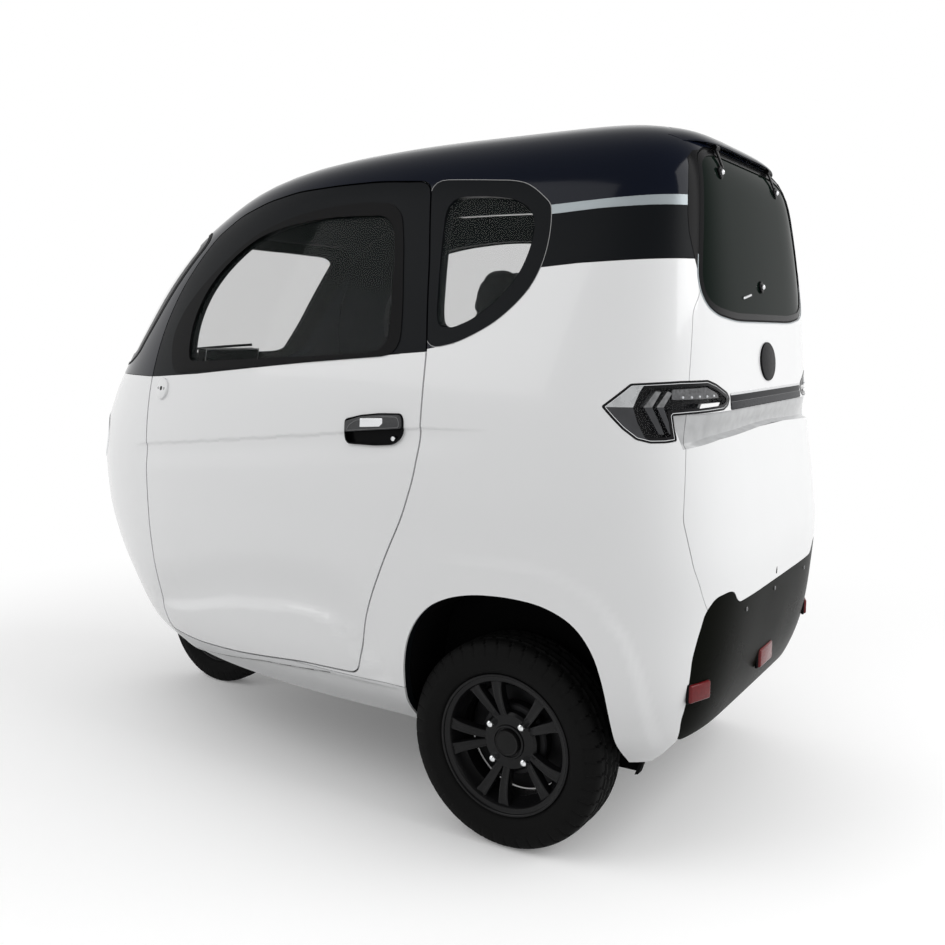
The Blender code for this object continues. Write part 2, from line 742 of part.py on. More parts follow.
def make_cowl(shell, cut):
    back = COWL_BACK_SHARE * BODY_REACH
    cowl = copy_of(shell, "front_cowl", PARTS)
    boolean(cowl, [region("cowl_region", lower_region(-FAR, back, 0))], "INTERSECT")
    lamps = []
    for side in (1, -1):
        points = [(x * side, z) for x, z in head_lamp_outline(HEAD_LAMP_RADIUS)]
        lamps.append(rear_prism("head_lamp_cut", points, -FAR, 0))
    boolean(cowl, lamps + [rear_prism("front_wheel_cut", wheel_cut_outline(), -FAR, 0)])
    lugs = [
        bar("door_lug", *door_lug_ends(side, height, -1), DOOR_HINGE_RADIUS)
        for side in (1, -1)
        for height in door_hinge_heights()
    ]
    roots = [
        door_lug_root(side, height, -1) for side in (1, -1) for height in door_hinge_heights()
    ]
    boolean(cowl, lugs + roots, "UNION")
    return finish(cowl, "white_paint")


def wheel_cut_outline():
    """The arch in the nose that the steered wheel turns in."""
    half = WHEEL_CUT_HALF_WIDTH
    points = [(half, 0), (half, WHEEL_CUT_HEIGHT), (-half, WHEEL_CUT_HEIGHT), (-half, 0)]
    return filleted(points, half * 0.6, 4)


def make_quarter(shell, cut):
    front = COWL_BACK_SHARE * BODY_REACH
    quarter = copy_of(shell, "quarter_panel_left", PARTS)
    points = lower_region(0, FAR, 0)
    boolean(quarter, [side_prism("quarter_region", points, TOUCH, OUTSIDE)], "INTERSECT")
    sill_top = SILL_TOP_SHARE * BODY_HEIGHT + TOUCH
    sill = [(front - OVERRUN, 0), (WIDEST_Y, 0), (WIDEST_Y, sill_top), (front - OVERRUN, sill_top)]
    tools = [
        region("quarter_door_cut", widened(cut["door"], SHUT_GAP)),
        region("quarter_sill_cut", sill),
        region("quarter_arch_cut", cut["arch"]),
        region("quarter_window_cut", cut["quarter"]),
        rear_prism("quarter_rear_cut", widened(cut["rear_panel"], TOUCH), WIDEST_Y, FAR),
        rear_prism("quarter_bumper_cut", widened(cut["bumper"], TOUCH), WIDEST_Y, FAR),
        rear_prism("quarter_glass_cut", widened(cut["rear_glass"], SHUT_GAP), WIDEST_Y, FAR),
        tail_lamp_prism("quarter_lamp_cut", widened(cut["tail_lamp"], TOUCH)),
        rear_prism("quarter_low_cut", low_rear_outline(), WIDEST_Y, FAR),
    ]
    boolean(quarter, tools)
    finish(quarter, "white_paint")
    return [quarter, finish(mirrored(quarter, "quarter_panel_right"), "white_paint")]


def low_rear_outline():
    """The gap under the bumper, between the two lower corners."""
    low = BUMPER_SHARES[-3]
    high = BUMPER_SHARES[-1]
    x = low[0] * BODY_HALF_WIDTH + TOUCH
    z = high[1] * BODY_HEIGHT
    return [(x, 0), (x, z), (-x, z), (-x, 0)]


def make_sills(shell, cut):
    front = COWL_BACK_SHARE * BODY_REACH + TOUCH
    top = SILL_TOP_SHARE * BODY_HEIGHT
    points = [(front, 0), (WIDEST_Y, 0), (WIDEST_Y, top), (front, top)]
    sill = copy_of(shell, "sill_left", PARTS)
    boolean(sill, [side_prism("sill_region", points, TOUCH, OUTSIDE)], "INTERSECT")
    boolean(sill, [
        region("sill_door_cut", widened(cut["door"], SHUT_GAP)),
        region("sill_arch_cut", cut["arch"]),
    ])
    finish(sill, "grey_plastic")
    return [sill, finish(mirrored(sill, "sill_right"), "grey_plastic")]


def make_rear_panel(shell, cut):
    panel = copy_of(shell, "rear_panel", PARTS)
    region_tool = rear_prism("rear_panel_region", cut["rear_panel"], WIDEST_Y, FAR)
    boolean(panel, [region_tool], "INTERSECT")
    lamp = tail_lamp_prism("rear_lamp_cut", widened(cut["tail_lamp"], TOUCH))
    other = copy_of(lamp, "rear_lamp_cut_right")
    other.data.transform(Matrix.Scale(-1, 4, (1, 0, 0)))
    other.data.flip_normals()
    boolean(panel, [
        rear_prism("rear_glass_cut", widened(cut["rear_glass"], SHUT_GAP), WIDEST_Y, FAR),
        rear_prism("rear_bumper_cut", widened(cut["bumper"], TOUCH), WIDEST_Y, FAR),
        rear_prism("rear_bar_cut", light_bar_outline(TOUCH), WIDEST_Y, FAR),
        rear_prism("rear_low_cut", low_rear_outline(), WIDEST_Y, FAR),
        lamp,
        other,
    ])
    return finish(panel, "white_paint")


def make_bumper(shell, cut):
    bumper = copy_of(shell, "rear_bumper", PARTS)
    boolean(bumper, [rear_prism("bumper_region", cut["bumper"], WIDEST_Y, FAR)], "INTERSECT")
    return finish(bumper, "black_plastic")


def make_lamps(shell, cut):
    lamps = []
    tail = copy_of(shell, "tail_lamp_left", PARTS)
    boolean(tail, [tail_lamp_prism("tail_lamp_region", cut["tail_lamp"])], "INTERSECT")
    lamps += [finish(tail, "smoked_lens"), finish(mirrored(tail, "tail_lamp_right"), "smoked_lens")]
    head = copy_of(shell, "head_lamp_left", PARTS)
    points = head_lamp_outline(HEAD_LAMP_RADIUS - TOUCH)
    boolean(head, [rear_prism("head_lamp_region", points, -FAR, 0)], "INTERSECT")
    lamps += [finish(head, "clear_lens"), finish(mirrored(head, "head_lamp_right"), "clear_lens")]
    strip = copy_of(shell, "tail_light_bar", PARTS)
    tools = [rear_prism("light_bar_region", light_bar_outline(0), WIDEST_Y, FAR)]
    boolean(strip, tools, "INTERSECT")
    lamp = tail_lamp_prism("bar_lamp_cut", widened(cut["tail_lamp"], TOUCH))
    other = copy_of(lamp, "bar_lamp_cut_right")
    other.data.transform(Matrix.Scale(-1, 4, (1, 0, 0)))
    other.data.flip_normals()
    boolean(strip, [lamp, other])
    lamps.append(finish(strip, "smoked_lens"))
    return lamps


def make_glass(glass, cut):
    quarter = copy_of(glass, "quarter_glass_left", PARTS)
    points = widened(cut["quarter"], -TOUCH)
    boolean(quarter, [side_prism("quarter_glass_region", points, 0, OUTSIDE)], "INTERSECT")
    finish(quarter, "tinted_glass")
    right = finish(mirrored(quarter, "quarter_glass_right"), "tinted_glass")
    shield = copy_of(glass, "windshield", PARTS)
    points = widened(cut["windshield"], -TOUCH)
    boolean(shield, [rear_prism("windshield_region", points, -FAR, 0)], "INTERSECT")
    return [quarter, right, finish(shield, "tinted_glass")]


# Doors
def door_hinge_y():
    return DOOR_SHARES[0][0] * BODY_REACH - SHUT_GAP / 2


def door_hinge_heights():
    return [share * BODY_HEIGHT for share in DOOR_HINGE_SHARES]


def door_hinge_x():
    """How far out both hinges of a door stand, from the skin where it is narrower."""
    return min(skin_x(door_hinge_y(), height) for height in door_hinge_heights()) + DOOR_HINGE_STAND


def door_lug_ends(side, height, end):
    """Half of a hinge barrel: the door's upper half or the cowl's lower half."""
    x, y = side * door_hinge_x(), door_hinge_y()
    near = height + end * TOUCH / 2
    far = height + end * DOOR_HINGE_LENGTH / 2
    return Vector((x, y, near)), Vector((x, y, far))


def door_lug_root(side, height, end):
    """What carries that half: it reaches forwards into the cowl or backwards into the door."""
    reach = SHUT_GAP * 1.5
    size = (DOOR_HINGE_RADIUS * 4, reach, DOOR_HINGE_LENGTH / 2 - TOUCH * 2)
    place = Vector((
        side * (door_hinge_x() - DOOR_HINGE_RADIUS * 1.5),
        door_hinge_y() + end * (reach / 2 + TOUCH),
        height + end * (DOOR_HINGE_LENGTH / 4 + TOUCH / 2),
    ))
    return block("door_lug_root", size, place, CUTTERS)


def make_mirror_base():
    """The bare plate that a door mirror bolts to, with a flat face."""
    skin = skin_x(MIRROR_BASE_Y, MIRROR_BASE_HEIGHT)
    outer = Vector((skin + MIRROR_BASE_STAND, MIRROR_BASE_Y, MIRROR_BASE_HEIGHT))
    inner = outer - Vector((MIRROR_BASE_STAND + WALL / 2, 0, 0))
    return bar("mirror_base", inner, outer, MIRROR_BASE_RADIUS, WHEEL_SIDES // 2)


def make_handle(proud):
    """A rounded pull that stands proud of the door, with a finger pocket in its lower half."""
    half = HANDLE_LENGTH / 2
    points = filleted(
        [(-half, -HANDLE_DEPTH / 2), (half, -HANDLE_DEPTH / 2), (half, HANDLE_DEPTH / 2),
         (-half, HANDLE_DEPTH / 2)], HANDLE_DEPTH / 3)
    across = Vector((0, math.cos(HANDLE_TILT), math.sin(HANDLE_TILT)))
    up = Vector((0, -math.sin(HANDLE_TILT), math.cos(HANDLE_TILT)))
    skin = skin_x(HANDLE_Y, HANDLE_HEIGHT)
    centre = Vector((skin, HANDLE_Y, HANDLE_HEIGHT))
    plate = prism("door_left_handle", points, (across, up), centre, HANDLE_STAND, PARTS)
    pocket = [
        (-half * 0.8, -HANDLE_DEPTH * 0.40), (half * 0.55, -HANDLE_DEPTH * 0.40),
        (half * 0.55, -HANDLE_DEPTH * 0.05), (-half * 0.8, -HANDLE_DEPTH * 0.05),
    ]
    reach = centre + Vector((HANDLE_STAND * 1.5, 0, 0))
    hollow = prism("handle_pocket", filleted(pocket, HANDLE_DEPTH / 8), (across, up), reach,
                   HANDLE_STAND)
    boolean(plate, [hollow, proud])
    return finish(plate, "black_plastic")


def make_door(shell, glass, proud, cut):
    door = copy_of(shell, "door_left_shell", PARTS)
    boolean(door, [side_prism("door_region", cut["door"], TOUCH, OUTSIDE)], "INTERSECT")
    lugs = [
        bar("door_lug", *door_lug_ends(1, height, 1), DOOR_HINGE_RADIUS)
        for height in door_hinge_heights()
    ]
    roots = [door_lug_root(1, height, 1) for height in door_hinge_heights()]
    boolean(door, lugs + roots + [make_mirror_base()], "UNION")
    boolean(door, [region("door_window_cut", cut["window"])])
    pane = copy_of(glass, "door_left_glass", PARTS)
    points = widened(cut["window"], -TOUCH)
    boolean(pane, [side_prism("door_glass_region", points, 0, OUTSIDE)], "INTERSECT")
    pieces = [finish(door, "white_paint"), finish(pane, "tinted_glass"), make_handle(proud)]
    for piece in list(pieces):
        material = piece.data.materials[0].name
        other = mirrored(piece, piece.name.replace("left", "right"))
        pieces.append(finish(other, material))
    for piece in pieces:
        side = -1 if "right" in piece.name else 1
        origin_to(piece, Vector((side * door_hinge_x(), door_hinge_y(), 0)))
    return pieces


# Hatch
def hatch_axis():
    """A point on the hatch's hinge axis, just outside the skin at the glass's top edge."""
    height = REAR_GLASS_SHARES[0][1] * BODY_HEIGHT + SHUT_GAP / 2
    skin = skin_tail_y(HATCH_HINGE_X, height)
    return Vector((0, skin + HATCH_HINGE_RADIUS, height))


def hatch_lug_ends(side, outer=True):
    """The roof's half of a hinge barrel is its outer half, the hatch's is its inner half."""
    end = 1 if outer else -1
    axis = hatch_axis()
    near = Vector((side * (HATCH_HINGE_X + end * TOUCH / 2), axis.y, axis.z))
    far = Vector((side * (HATCH_HINGE_X + end * HATCH_HINGE_LENGTH / 2), axis.y, axis.z))
    return near, far


def make_hatch(glass, cut, glass_face):
    pane = copy_of(glass, "rear_glass", PARTS)
    boolean(pane, [rear_prism("hatch_region", cut["rear_glass"], WIDEST_Y, FAR)], "INTERSECT")
    made = [finish(pane, "tinted_glass")]
    for side, word in ((1, "left"), (-1, "right")):
        start, end = hatch_lug_ends(side, outer=False)
        barrel = bar("hatch_barrel", start, end, HATCH_HINGE_RADIUS)
        middle = (start + end) / 2
        low_z = middle.z - HATCH_STRAP_LENGTH
        low = Vector((middle.x, skin_tail_y(middle.x, low_z) - GLASS_INSET, low_z))
        width = HATCH_HINGE_LENGTH / 2 - TOUCH
        strap = beam("hatch_strap", middle, low, width, HATCH_STRAP_THICKNESS * 2)
        hinge = fused(f"hatch_hinge_{word}", [barrel, strap], "black_plastic")
        boolean(hinge, [glass_face])
        made.append(finish(hinge, "black_plastic"))
    skin = skin_tail_y(0, HATCH_LOCK_HEIGHT)
    inner = Vector((0, skin - WALL / 2, HATCH_LOCK_HEIGHT))
    outer = Vector((0, skin + HATCH_LOCK_STAND, HATCH_LOCK_HEIGHT))
    lock = bar("hatch_lock", inner, outer, HATCH_LOCK_RADIUS, collection=PARTS)
    boolean(lock, [glass_face])
    made.append(finish(lock, "bright_steel"))
    for piece in made:
        origin_to(piece, hatch_axis())
    return made


# Steering and front wheel
def steer_point(height):
    """The place on the raked steering axis at a height."""
    return Vector((0, HANDLEBAR_Y - (HANDLEBAR_HEIGHT - height) * math.tan(STEER_RAKE), height))


def crown_height():
    return FRONT_TYRE_RADIUS * 2 + FORK_CROWN_THICKNESS


def head_tube_ends():
    along = Vector((0, math.sin(STEER_RAKE), math.cos(STEER_RAKE)))
    middle = steer_point(crown_height() + HEAD_TUBE_RISE)
    return middle - along * HEAD_TUBE_LENGTH / 2, middle + along * HEAD_TUBE_LENGTH / 2


def make_steering():
    crown = steer_point(crown_height())
    axle = Vector((0, FRONT_AXLE_Y, FRONT_TYRE_RADIUS))
    across = Vector((FORK_LEG_X, 0, 0))
    pieces = [
        beam("crown", crown - across - Vector((FORK_LEG_RADIUS, 0, 0)),
             crown + across + Vector((FORK_LEG_RADIUS, 0, 0)), FORK_LEG_RADIUS * 2.6,
             FORK_CROWN_THICKNESS),
        bar("stem", crown, steer_point(HANDLEBAR_HEIGHT - HANDLEBAR_RADIUS * 2), STEM_RADIUS, 20),
        bar("axle", axle - across, axle + across, STEM_RADIUS * 0.6),
    ]
    for side in (1, -1):
        top = crown + across * side
        foot = axle + across * side
        tip = foot + (foot - top).normalized() * FORK_LEG_RADIUS
        pieces.append(bar("leg", top, tip, FORK_LEG_RADIUS * 0.8))
        pieces.append(bar("lower_leg", top.lerp(foot, 0.4), tip, FORK_LEG_RADIUS))
        pieces.append(bar("axle_nut", foot, foot + across * side * 0.3, FORK_LEG_RADIUS * 0.7, 6))
    fork = fused("steering_fork", pieces, "frame_steel")

    clamp_low = steer_point(HANDLEBAR_HEIGHT - HANDLEBAR_RADIUS * 2 + TOUCH)
    clamp_high = steer_point(HANDLEBAR_HEIGHT + HANDLEBAR_RADIUS)
    middle = steer_point(HANDLEBAR_HEIGHT)
    half = HANDLEBAR_HALF_WIDTH
    route = [
        middle + Vector((half * x, half * y, half * z))
        for x, y, z in (
            (1.0, 0.26, 0.06), (0.60, 0.20, 0.07), (0.42, 0.10, 0.05), (0.26, 0.0, 0.0),
            (-0.26, 0.0, 0.0), (-0.42, 0.10, 0.05), (-0.60, 0.20, 0.07), (-1.0, 0.26, 0.06),
        )
    ]
    pieces = [tube("bar", route, HANDLEBAR_RADIUS), bar("clamp", clamp_low, clamp_high, GRIP_RADIUS)]
    for end, inner in ((route[0], route[1]), (route[-1], route[-2])):
        along = (end - inner).normalized()
        pieces.append(bar("grip", end - along * GRIP_LENGTH, end + along * TOUCH * 10, GRIP_RADIUS))
        root = end - along * GRIP_LENGTH * 1.15
        tip = end - along * GRIP_LENGTH * 0.1 + Vector((0, -GRIP_RADIUS * 3, 0))
        pieces.append(bar("lever", root, tip, HANDLEBAR_RADIUS / 2, 8))
        pieces.append(bar("perch", root - along * GRIP_RADIUS / 2, root + along * GRIP_RADIUS / 2,
                          GRIP_RADIUS * 1.1))
    handlebar = fused("handlebar", pieces, "black_plastic")
    for piece in (fork, handlebar):
        origin_to(piece, steer_point(HANDLEBAR_HEIGHT))
    return [fork, handlebar]


def tyre_profile(radius, width, rim_radius, rim_width):
    """Half-round shouldered tyre section, its beads inside the rim's flanges."""
    bead = rim_width / 2 - RIM_WALL - TOUCH
    top = rim_radius + FLANGE_HEIGHT + TOUCH
    wall = radius - rim_radius
    half = [
        (rim_radius, bead),
        (top, bead),
        (rim_radius + wall * 0.34, (bead + width / 2) / 2),
        (rim_radius + wall * 0.58, width / 2),
        (rim_radius + wall * 0.88, width * 0.44),
        (radius, width * 0.26),
    ]
    return half + [(r, -a) for r, a in reversed(half)]


def rim_profile(rim_radius, rim_width):
    half = rim_width / 2
    seat = rim_radius - TOUCH
    lip = rim_radius + FLANGE_HEIGHT
    side = [(seat, half - RIM_WALL), (lip, half - RIM_WALL), (lip, half), (seat - RIM_WALL, half)]
    return side + [(r, -a) for r, a in reversed(side)]


def make_wheel(prefix, centre, outward, radius, width, rim_radius, rim_width, bore):
    """A tyre and a rim with paired spokes, a hub and a brake drum."""
    axis = Vector((outward, 0, 0))
    tyre = turned(f"{prefix}_tyre", tyre_profile(radius, width, rim_radius, rim_width), centre,
                  axis, collection=PARTS)
    finish(tyre, "tyre_rubber")
    half = rim_width / 2
    pieces = [turned("barrel", rim_profile(rim_radius, rim_width), centre, axis)]
    face = centre + axis * half * 0.55
    hub = min(HUB_RADIUS, rim_radius * 0.35)
    hub_half = FRONT_HUB_HALF if bore else half * 0.75
    pieces.append(bar("hub", centre - axis * hub_half, centre + axis * hub_half, hub))
    drum_back = centre - axis * (half - RIM_WALL)
    drum = min(DRUM_RADIUS, rim_radius * 0.6)
    pieces.append(bar("drum", drum_back, drum_back + axis * min(DRUM_WIDTH, half), drum, 20))
    if not bore:
        pieces.append(bar("cap", face, face + axis * half * 0.42, hub * 0.55, end_radius=hub * 0.4))
    for pair in range(SPOKE_PAIRS):
        for offset in (-0.5, 0.5):
            angle = 2 * math.pi * (pair + offset * 0.3 + 0.28) / SPOKE_PAIRS
            radial = Vector((0, math.cos(angle), math.sin(angle)))
            pieces.append(beam("spoke", face + radial * hub * 0.7,
                               face + radial * (rim_radius - RIM_WALL / 2), half * 0.28,
                               rim_radius * 0.13))
    rim = fused(f"{prefix}_rim", pieces, "black_alloy")
    if bore:
        reach = axis * (FRONT_HUB_HALF + OVERRUN)
        boolean(rim, [bar("bore", centre - reach, centre + reach, bore, 20)])
        finish(rim, "black_alloy")
    for piece in (tyre, rim):
        origin_to(piece, centre)
    return [tyre, rim]


def make_wheels():
    front = Vector((0, FRONT_AXLE_Y, FRONT_TYRE_RADIUS))
    bore = STEM_RADIUS * 0.6 + STEM_CLEARANCE
    made = make_wheel("front", front, 1, FRONT_TYRE_RADIUS, FRONT_TYRE_WIDTH, FRONT_RIM_RADIUS,
                      FRONT_RIM_WIDTH, bore)
    for side, word in ((1, "left"), (-1, "right")):
        centre = Vector((side * REAR_WHEEL_X, REAR_AXLE_Y, REAR_TYRE_RADIUS))
        made += make_wheel(f"rear_{word}", centre, side, REAR_TYRE_RADIUS, REAR_TYRE_WIDTH,
                           REAR_RIM_RADIUS, REAR_RIM_WIDTH, 0)
    return made


# Frame, axle and suspension
def outrigger_height():
    return DECK_HEIGHT - FLOOR_THICKNESS - FRAME_DEPTH / 2 - TOUCH


def make_chassis():
    low = FRAME_BASE + FRAME_DEPTH / 2
    high = low + KICK_UP
    front = steer_point(FRAME_BASE).y + RAIL_X * 1.35
    kick = REAR_AXLE_Y - KICK_UP * 2.1
    top = kick + KICK_UP * 0.75
    back = BODY_REACH * 0.88
    pieces = []
    half = FRAME_DEPTH / 2
    run = [(front - half, low + half), (kick, low + half), (top, high + half), (back + half, high + half)]
    for side in (1, -1):
        x = side * RAIL_X
        pieces.append(side_prism("rail", sheet_profile(run, FRAME_DEPTH), x - RAIL_WIDTH / 2,
                                 x + RAIL_WIDTH / 2))
        pieces.append(beam("tower", (x, REAR_AXLE_Y, high), (x, REAR_AXLE_Y, outrigger_height()),
                           RAIL_WIDTH * 0.8, FRAME_DEPTH))
        pieces.append(beam("outrigger", (x - side * RAIL_WIDTH / 4, REAR_AXLE_Y, outrigger_height()),
                           (side * (DAMPER_X + SPRING_RADIUS), REAR_AXLE_Y, outrigger_height()),
                           FRAME_DEPTH * 1.4, FRAME_DEPTH / 2))
    for y, z in ((front, low), (kick * 0.1, low), (kick, low), (top, high), (back, high)):
        pieces.append(beam("cross", (-RAIL_X, y, z), (RAIL_X, y, z), RAIL_WIDTH * 0.9,
                           FRAME_DEPTH * 0.9))
    tube_low, tube_high = head_tube_ends()
    head = bar("head_tube", tube_low, tube_high, HEAD_TUBE_RADIUS, 20)
    foot = Vector((0, front, low))
    pieces += [bar("down_tube", foot, tube_low.lerp(tube_high, 0.35), HEAD_TUBE_RADIUS * 0.75), head]
    chassis = fused("chassis_frame", pieces, "frame_steel")
    along = (tube_high - tube_low).normalized() * OVERRUN
    bore = bar("head_bore", tube_low - along, tube_high + along, STEM_RADIUS + STEM_CLEARANCE, 20)
    boolean(chassis, [bore])
    return finish(chassis, "frame_steel")


def make_axle():
    z = REAR_TYRE_RADIUS
    middle = Vector((0, REAR_AXLE_Y, z))
    end = REAR_WHEEL_X - REAR_RIM_WIDTH / 2 + RIM_WALL - TOUCH
    across = Vector((1, 0, 0))
    housing = TUB_HALF_WIDTH - DRUM_WIDTH * 0.3
    pieces = [
        bar("housing", middle - across * housing, middle + across * housing, AXLE_RADIUS, 20),
        bar("shaft", middle - across * end, middle + across * end, AXLE_RADIUS * 0.6),
        bar("differential", middle - across * DRUM_RADIUS * 0.8, middle + across * DRUM_RADIUS * 0.8,
            DRUM_RADIUS * 0.9, 20),
    ]
    motor = middle + Vector((0, -DRUM_RADIUS * 1.15, 0))
    half = across * RAIL_X * 0.45
    pieces.append(bar("motor", motor - half, motor + half, DRUM_RADIUS * 0.8, 20))
    for side in (1, -1):
        seat = middle + Vector((side * DAMPER_X, 0, AXLE_RADIUS))
        pieces.append(block("spring_seat", (SPRING_RADIUS * 2, SPRING_RADIUS * 2, RIM_WALL * 2),
                            seat, CUTTERS))
    return fused("rear_axle", pieces, "frame_steel")


def make_dampers():
    low = REAR_TYRE_RADIUS + AXLE_RADIUS + RIM_WALL + TOUCH
    high = outrigger_height() - FRAME_DEPTH / 4 - TOUCH
    centre = Vector((DAMPER_X, REAR_AXLE_Y, 0))
    plate = SPRING_WIRE * 1.5
    points = []
    count = SPRING_TURNS * SPRING_SIDES
    bottom, top = low + plate * 0.6, high - plate * 0.6
    for i in range(count + 1):
        angle = 2 * math.pi * i / SPRING_SIDES
        radius = SPRING_RADIUS - SPRING_WIRE
        points.append(centre + Vector((radius * math.cos(angle), radius * math.sin(angle),
                                       bottom + (top - bottom) * i / count)))
    up = Vector((0, 0, 1))
    pieces = [
        bar("rod", centre + up * low, centre + up * high, DAMPER_RADIUS * 0.5),
        bar("body", centre + up * low, centre + up * (low + high) / 2, DAMPER_RADIUS),
        bar("low_plate", centre + up * low, centre + up * (low + plate), SPRING_RADIUS, 20),
        bar("high_plate", centre + up * (high - plate), centre + up * high, SPRING_RADIUS, 20),
        tube("coil", points, SPRING_WIRE, 0),
    ]
    left = fused("rear_damper_left", pieces, "frame_steel")
    return [left, finish(mirrored(left, "rear_damper_right"), "frame_steel")]


# Floor, dashboard and seats
def sheet_profile(points, thickness):
    """A bent sheet's section below a run of points."""
    lower = []
    for i, point in enumerate(points):
        here = Vector(point)
        before = (here - Vector(points[max(i - 1, 0)])).normalized()
        after = (Vector(points[min(i + 1, len(points) - 1)]) - here).normalized()
        normal = Vector((before.y + after.y, -before.x - after.x))
        scale = max(normal.length / 2, 0.5) if 0 < i < len(points) - 1 else 1
        lower.append(here + normal.normalized() * thickness / scale)
    return [Vector(point) for point in points] + list(reversed(lower))


def floor_height():
    return FRAME_BASE + FRAME_DEPTH + FLOOR_THICKNESS + TOUCH


def wheel_house_height():
    return crown_height() + FORK_CROWN_THICKNESS * 2 + FLOOR_THICKNESS


def make_floor(cabin, cut):
    flat = floor_height()
    house = wheel_house_height()
    toe = steer_point(FRAME_BASE).y + RAIL_X * 1.35 + RAIL_WIDTH + FLOOR_THICKNESS
    riser = REAR_AXLE_Y - KICK_UP * 2.1 - RAIL_WIDTH
    path = [
        (-FAR, house), (toe - RAIL_WIDTH * 2.2, house), (toe, house - RAIL_WIDTH * 1.6), (toe, flat),
        (riser, flat), (riser, DECK_HEIGHT), (FAR, DECK_HEIGHT),
    ]
    floor = region("floor_pan", sheet_profile(path, FLOOR_THICKNESS))
    floor.name = "floor_strip"
    pan = copy_of(floor, "floor_pan", PARTS)
    liner = widened(cut["arch"], ARCH_LINER_GAP + ARCH_LINER)
    well = widened(cut["arch"], ARCH_LINER_GAP)
    boxes = []
    wells = []
    clearances = []
    for side in (1, -1):
        ends = sorted((side * TUB_HALF_WIDTH, side * OUTSIDE))
        boxes.append(side_prism("arch_liner", liner, *ends))
        ends = sorted((side * (TUB_HALF_WIDTH + ARCH_LINER), side * (OUTSIDE + OVERRUN)))
        wells.append(side_prism("arch_well", well, *ends))
        ends = sorted((side * TUB_HALF_WIDTH, side * (OUTSIDE + OVERRUN)))
        door = widened(cut["door"], SHUT_GAP)
        clearances.append(side_prism("door_sweep", door, *ends))
    boolean(pan, clearances)
    boolean(pan, boxes, "UNION")
    boolean(pan, [cabin], "INTERSECT")
    slot_low, slot_high = head_tube_ends()
    centre = (slot_low + slot_high) / 2
    slot = block("steering_slot", (HEAD_TUBE_RADIUS * 2 + SHUT_GAP * 2, HEAD_TUBE_LENGTH * 1.5,
                                   HEAD_TUBE_LENGTH), Vector((0, centre.y, house)), CUTTERS)
    axle = bar("axle_hole", (-OUTSIDE, REAR_AXLE_Y, REAR_TYRE_RADIUS),
               (OUTSIDE, REAR_AXLE_Y, REAR_TYRE_RADIUS), AXLE_RADIUS * 1.8, 20)
    boolean(pan, [*wells, slot, axle])
    return finish(pan, "grey_plastic")


def make_dashboard(cabin):
    dash = region("dash_region", filleted(side_points(DASH_SHARES)))
    piece = copy_of(dash, "dashboard", PARTS)
    boolean(piece, [cabin], "INTERSECT")
    return finish(piece, "grey_plastic")


def make_seats():
    flat = floor_height() + TOUCH
    battery = block("battery_box", (BATTERY_WIDTH, BATTERY_LENGTH, BATTERY_HEIGHT),
                    Vector((0, BATTERY_Y, flat + BATTERY_HEIGHT / 2)), edge=FLOOR_THICKNESS / 2)
    finish(battery, "grey_plastic")
    seat_low = flat + BATTERY_HEIGHT + TOUCH
    cushion = block("seat_cushion", (SEAT_WIDTH, SEAT_LENGTH, SEAT_THICKNESS),
                    Vector((0, SEAT_Y, seat_low + SEAT_THICKNESS / 2)), edge=SOFT_EDGE)
    up = Vector((0, math.sin(BACK_RECLINE), math.cos(BACK_RECLINE)))
    foot = Vector((0, SEAT_Y + SEAT_LENGTH / 2 + BACK_FOOT_REACH, seat_low + SEAT_THICKNESS / 4))
    back = block("seat_back", (SEAT_WIDTH, BACK_THICKNESS, BACK_HEIGHT),
                 foot + up * BACK_HEIGHT / 2, turn=-BACK_RECLINE, edge=SOFT_EDGE)
    bench_low = DECK_HEIGHT + TOUCH
    bench = block("bench_cushion", (BENCH_WIDTH, BENCH_LENGTH, SEAT_THICKNESS),
                  Vector((0, BENCH_Y, bench_low + SEAT_THICKNESS / 2)), edge=SOFT_EDGE)
    foot = Vector((0, BENCH_Y + BENCH_LENGTH / 2 + BACK_FOOT_REACH, bench_low + SOFT_EDGE))
    rest = block("bench_back", (BENCH_WIDTH, BACK_THICKNESS, BENCH_BACK_HEIGHT),
                 foot + up * BENCH_BACK_HEIGHT / 2, turn=-BACK_RECLINE, edge=SOFT_EDGE)
    return [battery] + [finish(soft, "seat_fabric") for soft in (cushion, back, bench, rest)]


def build():
    shell, glass = make_shells()
    cut = windows_and_openings()
    proud = body_solid("proud_body", -TOUCH)
    glass_face = body_solid("glass_face", GLASS_INSET - TOUCH, OVERRUN)
    cabin = body_solid("cabin", WALL + TOUCH, OVERRUN, INNER_RING_SHARES)
    make_roof(shell, cut)
    make_cowl(shell, cut)
    make_quarter(shell, cut)
    make_sills(shell, cut)
    make_rear_panel(shell, cut)
    make_bumper(shell, cut)
    make_lamps(shell, cut)
    make_glass(glass, cut)
    make_door(shell, glass, proud, cut)
    make_hatch(glass, cut, glass_face)
    make_steering()
    make_wheels()
    make_chassis()
    make_axle()
    make_dampers()
    make_floor(cabin, cut)
    make_dashboard(cabin)
    make_seats()


build()
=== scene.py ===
import json
import math

import bmesh
import bpy
import numpy as np
from mathutils import Matrix, Vector


